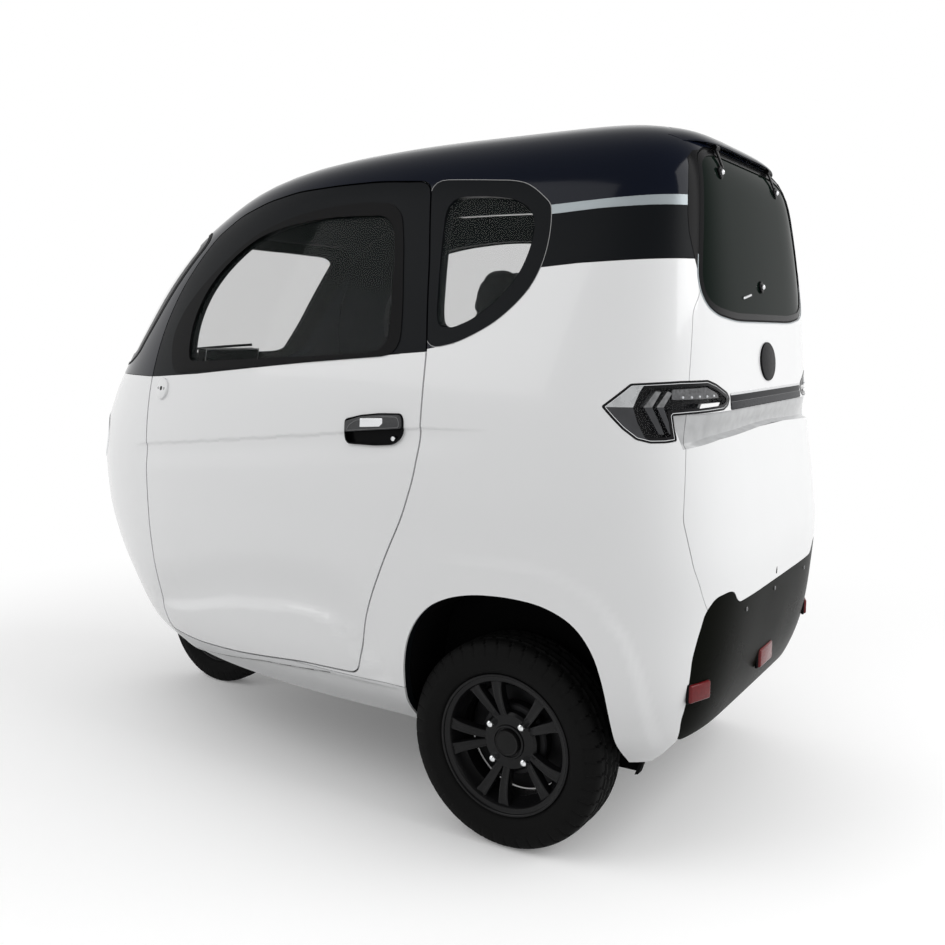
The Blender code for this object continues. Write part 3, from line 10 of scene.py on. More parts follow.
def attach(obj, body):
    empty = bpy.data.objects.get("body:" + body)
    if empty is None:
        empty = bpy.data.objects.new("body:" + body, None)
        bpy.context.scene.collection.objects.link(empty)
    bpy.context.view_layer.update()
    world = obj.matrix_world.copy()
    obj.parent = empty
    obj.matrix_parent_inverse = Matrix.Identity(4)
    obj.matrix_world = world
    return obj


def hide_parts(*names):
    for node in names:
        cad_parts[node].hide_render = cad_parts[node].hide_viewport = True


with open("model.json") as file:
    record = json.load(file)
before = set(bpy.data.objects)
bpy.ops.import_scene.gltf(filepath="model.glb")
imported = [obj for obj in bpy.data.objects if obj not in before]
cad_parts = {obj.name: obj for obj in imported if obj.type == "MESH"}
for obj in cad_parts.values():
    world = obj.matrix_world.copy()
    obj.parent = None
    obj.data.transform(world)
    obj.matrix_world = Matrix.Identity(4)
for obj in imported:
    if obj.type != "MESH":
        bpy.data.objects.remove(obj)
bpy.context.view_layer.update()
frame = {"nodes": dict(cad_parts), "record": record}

# The body's driving dimensions, as in the frame
BODY_REACH = 1.115
BODY_HALF_WIDTH = 0.58
BODY_HEIGHT = 1.68
WIDEST_Y = 0.45
NOSE_ROUNDNESS = 2.4
WALL = 0.03
ROOF_BLEND = 8
SECTION_SHARES = (
    (0.143, 0.830, -0.753, 0.905, 5.5), (0.190, 0.945, -0.825, 0.945, 5.6),
    (0.245, 0.980, -0.880, 0.972, 5.6), (0.330, 0.995, -0.955, 0.992, 5.2),
    (0.400, 1.000, -0.990, 1.000, 5.0), (0.470, 1.000, -1.000, 0.990, 5.0),
    (0.535, 0.993, -0.985, 0.975, 5.2), (0.595, 0.980, -0.945, 0.962, 5.4),
    (0.655, 0.955, -0.885, 0.952, 5.8), (0.715, 0.920, -0.820, 0.944, 6.3),
    (0.790, 0.865, -0.730, 0.932, 7.0), (0.860, 0.800, -0.615, 0.919, 7.5),
    (0.910, 0.745, -0.490, 0.905, 8.0), (0.940, 0.685, -0.400, 0.885, 8.0),
    (0.964, 0.590, -0.290, 0.850, 7.0), (0.982, 0.460, -0.150, 0.790, 6.0),
    (0.994, 0.280, 0.050, 0.700, 5.0), (1.000, 0.020, 0.300, 0.600, 4.0),
)
BLEND_SHARES = ((-0.016, 0.0625), (-0.008, 0.25), (0.0, 0.375), (0.008, 0.25), (0.016, 0.0625))
NOSE_STEPS = 54
TAIL_STEPS = 44
RINGS = 46
FINE_HEIGHTS = ((0.236, 0.360, 0.006), (0.368, 0.560, 0.009), (0.560, 0.730, 0.013),
                (0.800, 1.020, 0.007))
SEAM = 0.0045
HAIRLINE = 0.0016
OVERRUN = 0.05
CREASE = ((-0.70, 0.862), (-0.554, 0.877), (-0.136, 0.918), (0.225, 0.953), (0.453, 0.975),
          (1.10, 1.03))
CREASE_DEPTH = 0.0050
SWOOSH = (
    (-0.70, 0.395), (-0.457, 0.428), (-0.202, 0.487), (0.034, 0.514), (0.120, 0.512), (0.169, 0.503),
    (0.205, 0.486), (0.231, 0.467), (0.259, 0.433), (0.300, 0.385), (0.340, 0.350), (1.10, 0.30),
)
SWOOSH_DEPTH = 0.0125
SLOT = ((-0.513, 0.252), (-0.118, 0.318), (0.147, 0.340), (0.367, 0.335))
SLOT_DEPTH = 0.0085
FLARE_DEPTH = 0.0065
FLARE_FRONT, FLARE_WIDTH = 0.47, 0.058

# Side outlines as (length, height) in metres
DOOR = (
    (-0.5753, 0.3125), (-0.4003, 0.3125), (-0.1896, 0.3276), (0.0502, 0.3528), (0.2453, 0.3578),
    (0.2565, 0.4334), (0.2732, 0.4990), (0.3055, 0.5779), (0.3457, 0.6686), (0.3936, 0.7644),
    (0.4237, 0.8518), (0.4393, 0.9324), (0.4415, 1.0198), (0.4427, 1.1458), (0.4181, 1.3490),
    (0.3813, 1.5322), (0.2230, 1.5456), (0.0881, 1.5473), (-0.0669, 1.5456), (-0.1896, 1.5305),
    (-0.3055, 1.5019), (-0.4003, 1.4498), (-0.4616, 1.3793), (-0.5151, 1.2986), (-0.5519, 1.2146),
    (-0.5675, 1.1407), (-0.5753, 1.0618),
)
WINDOW = (
    (-0.3858, 1.1038), (-0.3981, 1.1592), (-0.3958, 1.2197), (-0.3702, 1.2852), (-0.3234, 1.3423),
    (-0.2520, 1.3978), (-0.1695, 1.4398), (-0.0602, 1.4616), (0.0847, 1.4734), (0.2620, 1.4666),
    (0.2977, 1.4448), (0.3178, 1.3994), (0.3356, 1.2600), (0.3412, 1.1374), (-0.0502, 1.1172),
)
SEAL = (
    (-0.452, 1.074), (-0.480, 1.120), (-0.492, 1.185), (-0.458, 1.248), (-0.400, 1.305),
    (-0.330, 1.358), (-0.252, 1.408), (-0.185, 1.444), (-0.055, 1.480), (0.085, 1.496),
    (0.215, 1.498), (0.285, 1.489), (0.318, 1.462), (0.340, 1.390), (0.366, 1.240), (0.371, 1.133),
)
QUARTER_GLASS = (
    (0.440, 1.491), (0.550, 1.487), (0.620, 1.475), (0.662, 1.452), (0.681, 1.420), (0.680, 1.373),
    (0.663, 1.315), (0.622, 1.262), (0.560, 1.216), (0.505, 1.196), (0.470, 1.199), (0.462, 1.230),
)
QUARTER_FRAME = (
    (0.380, 1.538), (0.499, 1.529), (0.607, 1.519), (0.643, 1.510), (0.670, 1.494), (0.693, 1.476),
    (0.713, 1.459), (0.720, 1.424), (0.722, 1.374), (0.713, 1.323), (0.692, 1.278), (0.658, 1.241),
    (0.616, 1.207), (0.565, 1.180), (0.515, 1.160), (0.444, 1.148), (0.430, 1.240), (0.410, 1.400),
)
ROOF_EDGE = (
    (-1.171, 1.0618), (-0.490, 1.0618), (0.400, 1.1474), (0.444, 1.148), (0.515, 1.160),
    (0.565, 1.180), (0.616, 1.207), (0.658, 1.241), (0.692, 1.278), (0.713, 1.323), (0.80, 1.329),
    (0.93, 1.333), (1.171, 1.340),
)
STRIPE_TOP = ((0.60, 1.452), (0.713, 1.457), (0.826, 1.462), (0.911, 1.465), (1.20, 1.471))
STRIPE_LOW = ((0.60, 1.432), (0.718, 1.437), (0.829, 1.443), (0.914, 1.445), (1.20, 1.446))
ARCH = (
    (0.3746, 0.1680), (0.3780, 0.2906), (0.3836, 0.3595), (0.3891, 0.4200), (0.4025, 0.4754),
    (0.4315, 0.5258), (0.4705, 0.5645), (0.5274, 0.5914), (0.5943, 0.6065), (0.6835, 0.6115),
    (0.7671, 0.6031), (0.8351, 0.5729), (0.8775, 0.5191), (0.8987, 0.4536), (0.9098, 0.3847),
    (0.9154, 0.3007), (0.9165, 0.1680),
)
COWL_BACK = -0.5808
SILL_TOP = 0.3461

# Rear and front half outlines as (half width, height) in metres, from the middle outwards
REAR_GLASS = (
    (0.2100, 1.5859), (0.2848, 1.5742), (0.3283, 1.5523), (0.3451, 1.5002), (0.3619, 1.4347),
    (0.3851, 1.3457), (0.3950, 1.3003), (0.3880, 1.2634), (0.3660, 1.2398), (0.3248, 1.2247),
    (0.2198, 1.2130),
)
REAR_PANEL = (
    (0.3822, 1.3003), (0.3979, 1.2617), (0.4211, 1.2298), (0.4443, 1.0870), (0.4623, 0.9643),
    (0.4831, 0.7997), (0.4698, 0.7006), (0.4460, 0.6317), (0.3497, 0.4502),
)
BUMPER = (
    (0.2999, 0.5964), (0.3178, 0.6065), (0.3352, 0.6266), (0.3602, 0.6317), (0.4101, 0.6266),
    (0.4367, 0.5998), (0.4518, 0.5393), (0.4588, 0.5006), (0.4570, 0.4402), (0.4470, 0.3595),
    (0.4200, 0.3000), (0.3602, 0.3058), (0.2001, 0.3125),
)
WINDSHIELD = (
    (0.2500, 1.0903), (0.3277, 1.0970), (0.3550, 1.1222), (0.3561, 1.2298), (0.3439, 1.3490),
    (0.3277, 1.4364), (0.2929, 1.4650), (0.2001, 1.4784), (0.0580, 1.4851),
)
TAIL_LAMP = (
    (-0.2357, 1.0334), (-0.2884, 1.0793), (-0.3344, 1.0817), (-0.3918, 1.0840), (-0.4676, 1.0840),
    (-0.4975, 1.0745), (-0.5373, 1.0555), (-0.5480, 1.0433), (-0.5410, 1.0290), (-0.5241, 1.0205),
    (-0.4692, 1.0190), (-0.4070, 1.0177), (-0.3718, 1.0161), (-0.3751, 0.9922), (-0.3795, 0.9640),
    (-0.3553, 0.9610), (-0.3238, 0.9608), (-0.2965, 0.9676), (-0.2706, 0.9893), (-0.2515, 1.0120),
)
RECESS_TOP = 1.0165
RECESS_HALF_WIDTHS = (0.490, 0.4717)
RECESS_LOW = ((0.0, 0.970), (0.100, 0.9683), (0.357, 0.9587), (0.472, 0.9450))
RECESS_DEPTH = 0.017
RECESS_TURN = 0.86
LAMP_TURN = math.radians(45)
FAR = BODY_REACH + OVERRUN
OUTSIDE = BODY_HALF_WIDTH + OVERRUN
SIDE = (Vector((0, 1, 0)), Vector((0, 0, 1)))
REAR = (Vector((1, 0, 0)), Vector((0, 0, 1)))
LAMP_VIEW = (
    Vector((math.cos(LAMP_TURN), -math.sin(LAMP_TURN), 0)), Vector((0, 0, 1)),
)

# Tail lamps, in the lamp's own view
# Above the fold the lamp's tip and blades carry a painted highlight, below it painted shade
LAMP_FOLD = 1.0326
LAMP_TIP_EDGE = ((-0.3128, 1.0762), (-0.3042, 1.0631), (-0.2913, 1.0323), (-0.2990, 1.0017),
                 (-0.3111, 0.9754), (-0.3206, 0.9600))
CHEVRONS = (
    ((-0.3475, 1.0640), (-0.3284, 1.0324), (-0.3532, 0.9773), (-0.3417, 0.9775), (-0.3120, 1.0330),
     (-0.3363, 1.0653)),
    ((-0.3712, 1.0605), (-0.3520, 1.0322), (-0.3715, 0.9800), (-0.3640, 0.9771), (-0.3378, 1.0330),
     (-0.3616, 1.0651)),
)
LAMP_WINDOW = ((-0.4396, 1.0274), (-0.4462, 1.0365), (-0.5081, 1.0365), (-0.5016, 1.0294))
LAMP_STRIP = ((-0.3713, 1.0680), (-0.4638, 1.0700), (-0.4990, 1.0560), (-0.5060, 1.0462),
              (-0.3710, 1.0473))
LAMP_FILLET = 0.002
LAMP_LINE_INSETS = (0.0030, 0.0042)
LAMP_BORDER = 0.0105
LAMP_NEAR, LAMP_FAR, LAMP_TOP, LAMP_BASE = -0.2, -0.6, 1.2, 0.9
LAMP_OUTWARD = Vector((math.sin(LAMP_TURN), math.cos(LAMP_TURN), 0))
LAMP_STRIP_FILLET, LAMP_WINDOW_FILLET, LAMP_GAP = 0.004, 0.0015, 0.0004
LED_COUNT = 5
LED_START, LED_STEP, LED_HEIGHT, LED_SHIFT, LED_DEPTH = -0.397, 0.0225, 1.0515, 0.0006, 0.0010
LED_PROFILE = ((0.0026, -0.001), (0.0026, 0.0008), (0.0018, 0.0018), (0.0006, 0.0022))

# The light bar: half its width, and the low and high edge of each part
BAR_HALF = 0.284
BAR_LENS, BAR_STRIP, BAR_LOWER = (1.018, 1.052), (1.0490, 1.0535), (1.0188, 1.0330)
BAR_LINE = (1.0335, 1.0348)
BAR_FILLET = 0.002

# How far the outer and the inner face of each thin layer lie under the skin
LAYERS = {
    "sill_line": (-0.0003, 0.005), "arch_edge": (0.0065, 0.028), "lamp_rim": (-0.0006, 0.020),
    "lamp_line": (-0.0002, 0.006), "lamp_border": (0.0, 0.004), "lamp_lens": (0.0006, 0.0016),
    "lamp_tip": (0.0004, 0.020), "lamp_back": (0.020, 0.026), "lamp_blades": (0.0004, 0.019),
    "lamp_strip": (0.0008, 0.019), "lamp_window": (-0.0002, 0.010), "bar_lens": (-0.0005, 0.014),
    "bar_strip": (-0.0022, 0.004), "bar_lower": (-0.0018, 0.004), "bar_line": (-0.0012, 0.004),
    "glass_border": (0.0012, 0.0095), "hatch_seal": (0.0025, 0.012), "rear_frame": (-0.0007, 0.004),
    "hatch_painted_highlight": (-0.0012, 0.006), "head_ring": (-0.0022, 0.010), "head_bezel": (-0.0005, 0.022),
    "head_cover": (0.0010, 0.0040), "shield_seal": (-0.0014, 0.004), "seam_highlight": (-0.0004, 0.004),
    "rubber": (-0.0022, 0.006),
}

GLASS_DEPTHS = (0.003, 0.008)

# The door's pull, its lock and the plate of its missing mirror
HANDLE = (
    (0.2245, 0.9821), (0.2751, 0.9937), (0.3291, 0.9996), (0.3898, 1.0010), (0.3970, 0.9856),
    (0.3970, 0.9634), (0.3896, 0.9433), (0.3690, 0.9277), (0.3193, 0.9235), (0.2507, 0.9235),
    (0.2366, 0.9238), (0.2283, 0.9320), (0.2245, 0.9497),
)
HANDLE_UPPER = (
    (0.2300, 0.9520), (0.2300, 0.9770), (0.2751, 0.9895), (0.3291, 0.9955), (0.3890, 0.9970),
    (0.3935, 0.9850), (0.3940, 0.9665),
)
HANDLE_LINE = (
    (0.2360, 0.9550), (0.2440, 0.9690), (0.2620, 0.9800), (0.3000, 0.9890), (0.3400, 0.9925),
    (0.3830, 0.9935), (0.3900, 0.9840), (0.3905, 0.9690),
)
HANDLE_STRIP = ((0.2776, 0.9860), (0.3432, 0.9885), (0.3437, 0.9766), (0.3351, 0.9690), (0.2776, 0.9655))
HANDLE_LIMIT = 0.5825
HANDLE_PADS = {
    "tray": (0.010, 0.0, (-0.020, 0.0032, 0.0015)), "pocket": (0.008, -0.0035, (-0.013, 0.02, 0.001)),
    "pull": (0.007, 0.0, (-0.010, 0.0100, 0.003)), "line": (0.006, 0.0, (0.006, 0.0106, 0.0003)),
    "strip": (0.0012, 0.0, (0.006, 0.0108, 0.0006)),
}
HANDLE_LINE_WIDTH, HANDLE_LINE_PAD = 0.0011, (0.0, 0.02, 0.0002)
LINE_STAND, STRIP_STAND = 0.0003, 0.0004
KEY_PLACE = (-0.012, 0.3658, 0.9415)
KEY_PROFILE = ((0.0062, 0.0), (0.0062, 0.0085), (0.0052, 0.0095), (0.0040, 0.0095), (0.0036, 0.0085),
               (0.0005, 0.0085))
KEY_SLOT, KEY_SLOT_HEIGHT, KEY_SLOT_EDGE = (0.0012, 0.0012, 0.0060), 0.0086, 0.0002
MIRROR_Y, MIRROR_Z = -0.502, 1.030
MIRROR_PLATE = ((0.031, -0.014), (0.031, 0.0040), (0.0302, 0.0056), (0.0285, 0.0064), (0.0062, 0.0064),
                (0.0056, 0.0056), (0.0054, -0.002), (0.0005, -0.002))
MIRROR_HOLE = ((0.0054, -0.0016), (0.0062, 0.0066), (0.0005, 0.0066))
MIRROR_SCREW = ((0.0036, -0.001), (0.0036, 0.0002), (0.0026, 0.0007), (0.0022, -0.0004),
                (0.0005, -0.0004))
MIRROR_SCREW_HEIGHT, MIRROR_SCREW_REACH = 0.0062, 0.0165

# Bumper fittings and the bare disc: places as (x, z), then widths and heights
REFLECTORS = ((0.4275, 0.424, 0.066, 0.040), (0.0155, 0.401, 0.100, 0.046), (-0.4275, 0.424, 0.066, 0.040))
REFLECTOR_RIM, REFLECTOR_DEPTH, REFLECTOR_STAND = (0.006, 0.008, 0.004), 0.018, 0.0010
BUMPER_SCREWS = ((0.248, 0.570), (-0.248, 0.570), (0.032, 0.573))
SCREW_PROFILE = ((0.0055, 0.0), (0.0055, 0.0018), (0.0042, 0.0028), (0.0015, 0.0028), (0.001, 0.0015))
REFLECTOR_EDGES, SLANT_REACH = (0.003, 0.005), 0.02
VENT_X, VENT_Z, VENT_SKIN_Z, VENT_HALVES = 0.037, 0.6195, 0.619, (0.0035, 0.009)
VENT_SUNK, VENT_PAD = 0.0005, (-0.004, 0.0012, 0.0005)
SUNK = 0.001
DISC_HEIGHT, DISC_HALVES, SLOPE_REACH = 1.116, (0.058, 0.046), 0.04
DISC_PAD = (-0.004, 0.0045, 0.002)
REAR_OUT = (Vector((-1, 0, 0)), Vector((0, 0, 1)))

# The lifting glass, its hinges and the roof's overhanging lip
HATCH_BOLTS = ((0.222, 1.532), (-0.205, 1.535), (0.008, 1.291))
REAR_FRAME = ((0.250, 1.580), (0.330, 1.566), (0.3583, 1.548), (0.377, 1.508), (0.3906, 1.466),
              (0.4009, 1.4245), (0.4060, 1.390), (0.4049, 1.363), (0.4023, 1.3386), (0.3960, 1.303),
              (0.300, 1.300))
HATCH_BORDER, HATCH_SEAL = 0.014, (0.0006, 0.0008)
# Margins and box of the painted highlight along the lower edge of the rear glass
HATCH_HIGHLIGHT_MARGINS, HATCH_HIGHLIGHT_BOX = (0.0022, 0.0004), (0.5, 1.0, 1.345)
CUP_PROFILE = ((0.0145, 0.0), (0.0145, 0.003), (0.0125, 0.0048), (0.001, 0.0048))
BOLT_PROFILE = ((0.0062, 0.004), (0.0066, 0.0068), (0.0054, 0.0094), (0.0032, 0.0108), (0.0008, 0.0113))
BOLT_AXIS, BOLT_SUNK = (0, 1, 0.15), 0.003
STAY_START, STAY_END, STAY_DEPTHS = (0.352, 1.352), (0.116, 1.270), (0.020, 0.016)
STAY_RADII, STAY_SHARE = (0.0030, 0.0048), 0.55
STAY_KNOB = ((0.006, -0.004), (0.007, 0.0), (0.006, 0.004))
CATCH_X, CATCH_Z, CATCH_SIZE, CATCH_EDGE = 0.125, 1.266, (0.056, 0.006, 0.0062), 0.002
CATCH_SUNK, CATCH_TILT = 0.0012, math.radians(9)
HINGE_X, HINGE_Y, HINGE_Z = 0.212, 0.9865, 1.58892
HINGE_RADIUS, HINGE_LENGTH, HINGE_EDGE, HINGE_PLAY = 0.0062, 0.024, 0.001, 0.0006
HINGE_DROP, HINGE_STAND, HINGE_SUNK, HINGE_MIDDLE = 0.045, 0.0005, 0.002, 0.012
HINGE_HALF, HINGE_NARROWING = 0.009, 0.003
HINGE_SECTION = ((-1, -0.0016), (1, -0.0016), (1, 0.0012), (0.8, 0.0018), (-0.8, 0.0018), (-1, 0.0012))
LIP_HALF = 0.325
LIP_LOW = 1.5985
LIP_PROFILE = (
    (1.668, 0.0), (1.664, 0.0035), (1.659, 0.0070), (1.652, 0.0110), (1.644, 0.0145), (1.635, 0.0172),
    (1.626, 0.0190), (1.617, 0.0200), (1.609, 0.0202), (1.6035, 0.0192), (1.6000, 0.0165), (1.5985, 0.0125),
)

# Head lamps and the opening over the front wheel
HEAD_LAMP_X = 0.27
HEAD_LAMP_HEIGHT = 0.86
HEAD_LAMP_RADIUS = 0.062
WHEEL_CUT_HALF_WIDTH = 0.185
WHEEL_CUT_HEIGHT = 0.43
HEAD_RING, HEAD_BEZEL, HEAD_COVER = (0.0720, 0.0625), (0.0622, 0.056), 0.0558
HEAD_BOWL = ((0.050, -0.014), (0.050, -0.010), (0.044, -0.020), (0.030, -0.028), (0.020, -0.030),
             (0.001, -0.030))
HEAD_EYE = ((0.021, -0.034), (0.0215, -0.020), (0.0200, -0.014), (0.0160, -0.0085), (0.0090, -0.0055),
            (0.0010, -0.0048))

# Wiper, controls and display
SHIELD_BORDER, SHIELD_SEAL = 0.028, (0.006, -0.002)
# Margins of the painted highlight on the seam round the quarter frame
SEAM_HIGHLIGHT_MARGINS = (0.0014, 0.0002)
WIPER_X, WIPER_Z, WIPER_RUN, WIPER_RISE, WIPER_SUNK = 0.10, 1.115, 0.36, 0.030, 0.010
WIPER_RADIUS, WIPER_ARM_RADIUS = 0.0045, 0.0055
# Each point of the arm: x, z, how far it is sunk and how far it is lifted
WIPER_ARM = ((0.02, 1.075, 0.012, 0.0), (-0.01, 1.095, 0.020, 0.0), (-0.06, 1.125, 0.014, 0.002))
WIPER_CAP = ((0.014, -0.004), (0.014, 0.010), (0.012, 0.013), (0.001, 0.014))
WIPER_CAP_STAND, WIPER_CAP_AXIS = 0.003, (0, -1, 0.3)
BAR_MIDDLE, BAR_REACH = (0, -0.449925, 0.98), 0.30
GRIP_SHARES, GRIP_END_SHARES = (0.60, 0.20, 0.07), (1.0, 0.26, 0.06)
GRIP_RIBS, GRIP_STEP, GRIP_LENGTH = 17, 0.0066, 0.1195
GRIP_RIB = ((0.0182, 0.003), (0.0186, 0.0048), (0.0182, 0.0066), (0.0174, 0.0078))
GRIP_ENDS = ((0.0172, 0.0), (0.0186, 0.1175), (0.0150, 0.1198))
DISPLAY_TILT = math.radians(-14)
DISPLAY_CASE = ((0.250, 0.036, 0.064), (0, -0.7200, 1.104), 0.010)
DISPLAY_FOOT = ((0.060, 0.030, 0.080), (0, -0.7300, 1.064), 0.008)
DISPLAY_SCREEN = ((0.232, 0.004, 0.048), (0, -0.7020, 1.1085), 0.0018)
DISPLAY_LINE_PLACE, DISPLAY_LINE_EDGE = (0, -0.7012, 1.1088), 0.0006
DISPLAY_LINES = ((0, 0.0258, (0.238, 0.0035, 0.0022)), (0, -0.0258, (0.238, 0.0035, 0.0022)),
                 (0.118, 0, (0.0022, 0.0035, 0.050)), (-0.118, 0, (0.0022, 0.0035, 0.050)))

# Wheels: centre, radius, width, rim radius and rim width
REAR_WHEEL = (0.476, 0.64001, 0.247), 0.247, 0.135, 0.152, 0.116
FRONT_WHEEL = (0, -0.774925, 0.216), 0.2157, 0.088, 0.127, 0.076
TREAD_STEPS = 396
TREAD_DEPTH = 0.0060
RIM_LIP = 0.016
TYRE_ROOM = 0.0003
SPOKE_PAIRS = 5
SPOKE_STARTS = {"rear": 40, "front": 20}
SPOKE_EDGE = ((-1.0, -0.0050), (-0.86, -0.0010), (-0.62, 0.0), (-0.25, -0.0016), (0.25, -0.0016),
              (0.62, 0.0), (0.86, -0.0010), (1.0, -0.0050))
HUB_FACE = 0.030
NUT_COUNT, NUT_START, NUT_RADIUS, NUT_DEPTH, NUT_HEIGHT = 4, 50, 0.0088, 0.004, 0.010
NUT_SHARE = 0.385
DRUM_SHIFT = 0.004
NUT_CROWN = ((0.0084, 0.010), (0.0076, 0.0135), (0.0052, 0.0158), (0.001, 0.0168))
WHEEL_CAP = ((0.026, -0.002), (0.0315, 0.003), (0.0315, 0.009), (0.0295, 0.0122), (0.0275, 0.0118),
             (0.0255, 0.0106), (0.012, 0.0120), (0.001, 0.0124))
BRAKE_DRUM = ((0.03, -0.052), (0.084, -0.052), (0.086, -0.048), (0.086, -0.030), (0.082, -0.026),
              (0.05, -0.024), (0.048, -0.012), (0.02, -0.012))
DUST_SHIELD = ((0.03, -0.060), (0.129, -0.060), (0.1305, -0.0575), (0.128, -0.055), (0.09, -0.054),
               (0.03, -0.056))
FRONT_BORE = 0.0088
FRONT_HUB = ((0.0092, -0.0548), (0.020, -0.0548), (0.024, -0.050), (0.026, 0.0), (0.024, 0.050),
             (0.020, 0.0548), (0.0092, 0.0548))
FRONT_ROTOR = ((0.046, -0.0315), (0.088, -0.0315), (0.088, -0.0275), (0.046, -0.0275))

# Cushions
SOFT_VOXEL = 0.007
SOFT_FRAMES = 20
SOFT_PRESSURE = 4.0
SOFT_ROOM = 0.002
CLOTH = {
    "quality": 5, "mass": 0.3, "tension_stiffness": 18, "compression_stiffness": 18,
    "shear_stiffness": 6, "bending_stiffness": 2, "use_pressure": True,
    "uniform_pressure_force": SOFT_PRESSURE,
}
SOFT_START, SOFT_REACH = 0.85, 1.6
HEADREST = Vector((0, 0.335, 1.225))
HEADREST_HALVES = (0.145, 0.138, 0.110, 0.048)
POST_X, POST_RADIUS = 0.055, 0.006
POST_RUN = ((0.372, 0.900), (0.384, 0.980), (0.366, 1.060), (0.350, 1.130))

# Each cushion: its name, its solid, its fill, how far it swells, and its seams, each a direction, a
# place, a depth, a width and a facing
UP, BACK, OUT = (0, 0, 1), (0, -1, 0), (1, 0, 0)
ANY = (0, 0, 0)
SOFT_ROWS = (
    ("driver_cushion", "seat_cushion", 0.65, 0.012, (
        (OUT, 0.62, 0.006, 0.006, UP), (OUT, -0.62, 0.006, 0.006, UP),
        (BACK, 0.30, 0.005, 0.006, UP), (BACK, -0.30, 0.005, 0.006, UP), (UP, 0.35, 0.003, 0.005, ANY))),
    ("driver_backrest", "seat_back", 0.65, 0.012, (
        (OUT, 0.60, 0.006, 0.006, BACK), (OUT, -0.60, 0.006, 0.006, BACK),
        (UP, 0.30, 0.005, 0.006, BACK), (UP, -0.15, 0.005, 0.006, BACK), (UP, -0.55, 0.005, 0.006, BACK))),
    ("bench_seat", "bench_cushion", 0.6, 0.012, (
        (OUT, 0.0, 0.007, 0.007, UP), (OUT, 0.5, 0.005, 0.006, UP), (OUT, -0.5, 0.005, 0.006, UP),
        (UP, 0.35, 0.003, 0.005, ANY))),
    ("bench_backrest", "bench_back", 0.6, 0.012, (
        (OUT, 0.0, 0.007, 0.007, BACK), (OUT, 0.5, 0.005, 0.006, BACK), (OUT, -0.5, 0.005, 0.006, BACK),
        (UP, 0.1, 0.005, 0.006, BACK))),
    ("headrest", None, 0.7, 0.008, ((UP, 0.0, 0.004, 0.006, BACK),)),
)

# Studio and camera
SKY_LIGHT = 0.66
SKY_OVERHEAD = 0.30
SKY_FADE = (0.02, 0.75)
LAMPS = (("key", (-0.6, 4.6, 3.6), 135), ("fill", (3.6, -2.4, 3.6), 60))
LAMP_SIZE = 3.6
LAMP_AIM = (0, 0, 0.7)
FLOOR_REACH = 14
FLOOR_FADE = (1.5, 3.0)
FLOOR_LIFT = 0.10
FLOOR_PALE = (0.95, 0.95, 0.95, 1)
CAMERA_LENS, CAMERA_SENSOR = 39.45, 36
CAMERA_PLACE = (2.494, 1.777, 1.178)
CAMERA_TURN, CAMERA_DIP = math.radians(31.839), math.radians(7.543)

# Shading along the skin
SHARP_ANGLE = math.radians(32)
SHADED_SHARE = 0.985
ON_SKIN, FACES_IN = 0.93, -0.6
PROBE = 0.0006


# Materials
SHADER_INPUTS = {"specular": "Specular IOR Level", "alpha": "Alpha", "coat": "Coat Weight",
                 "coat_roughness": "Coat Roughness", "sheen": "Sheen Weight"}
LEAST_ROUGHNESS = 0.02
GRAIN_HEIGHT = 0.0005
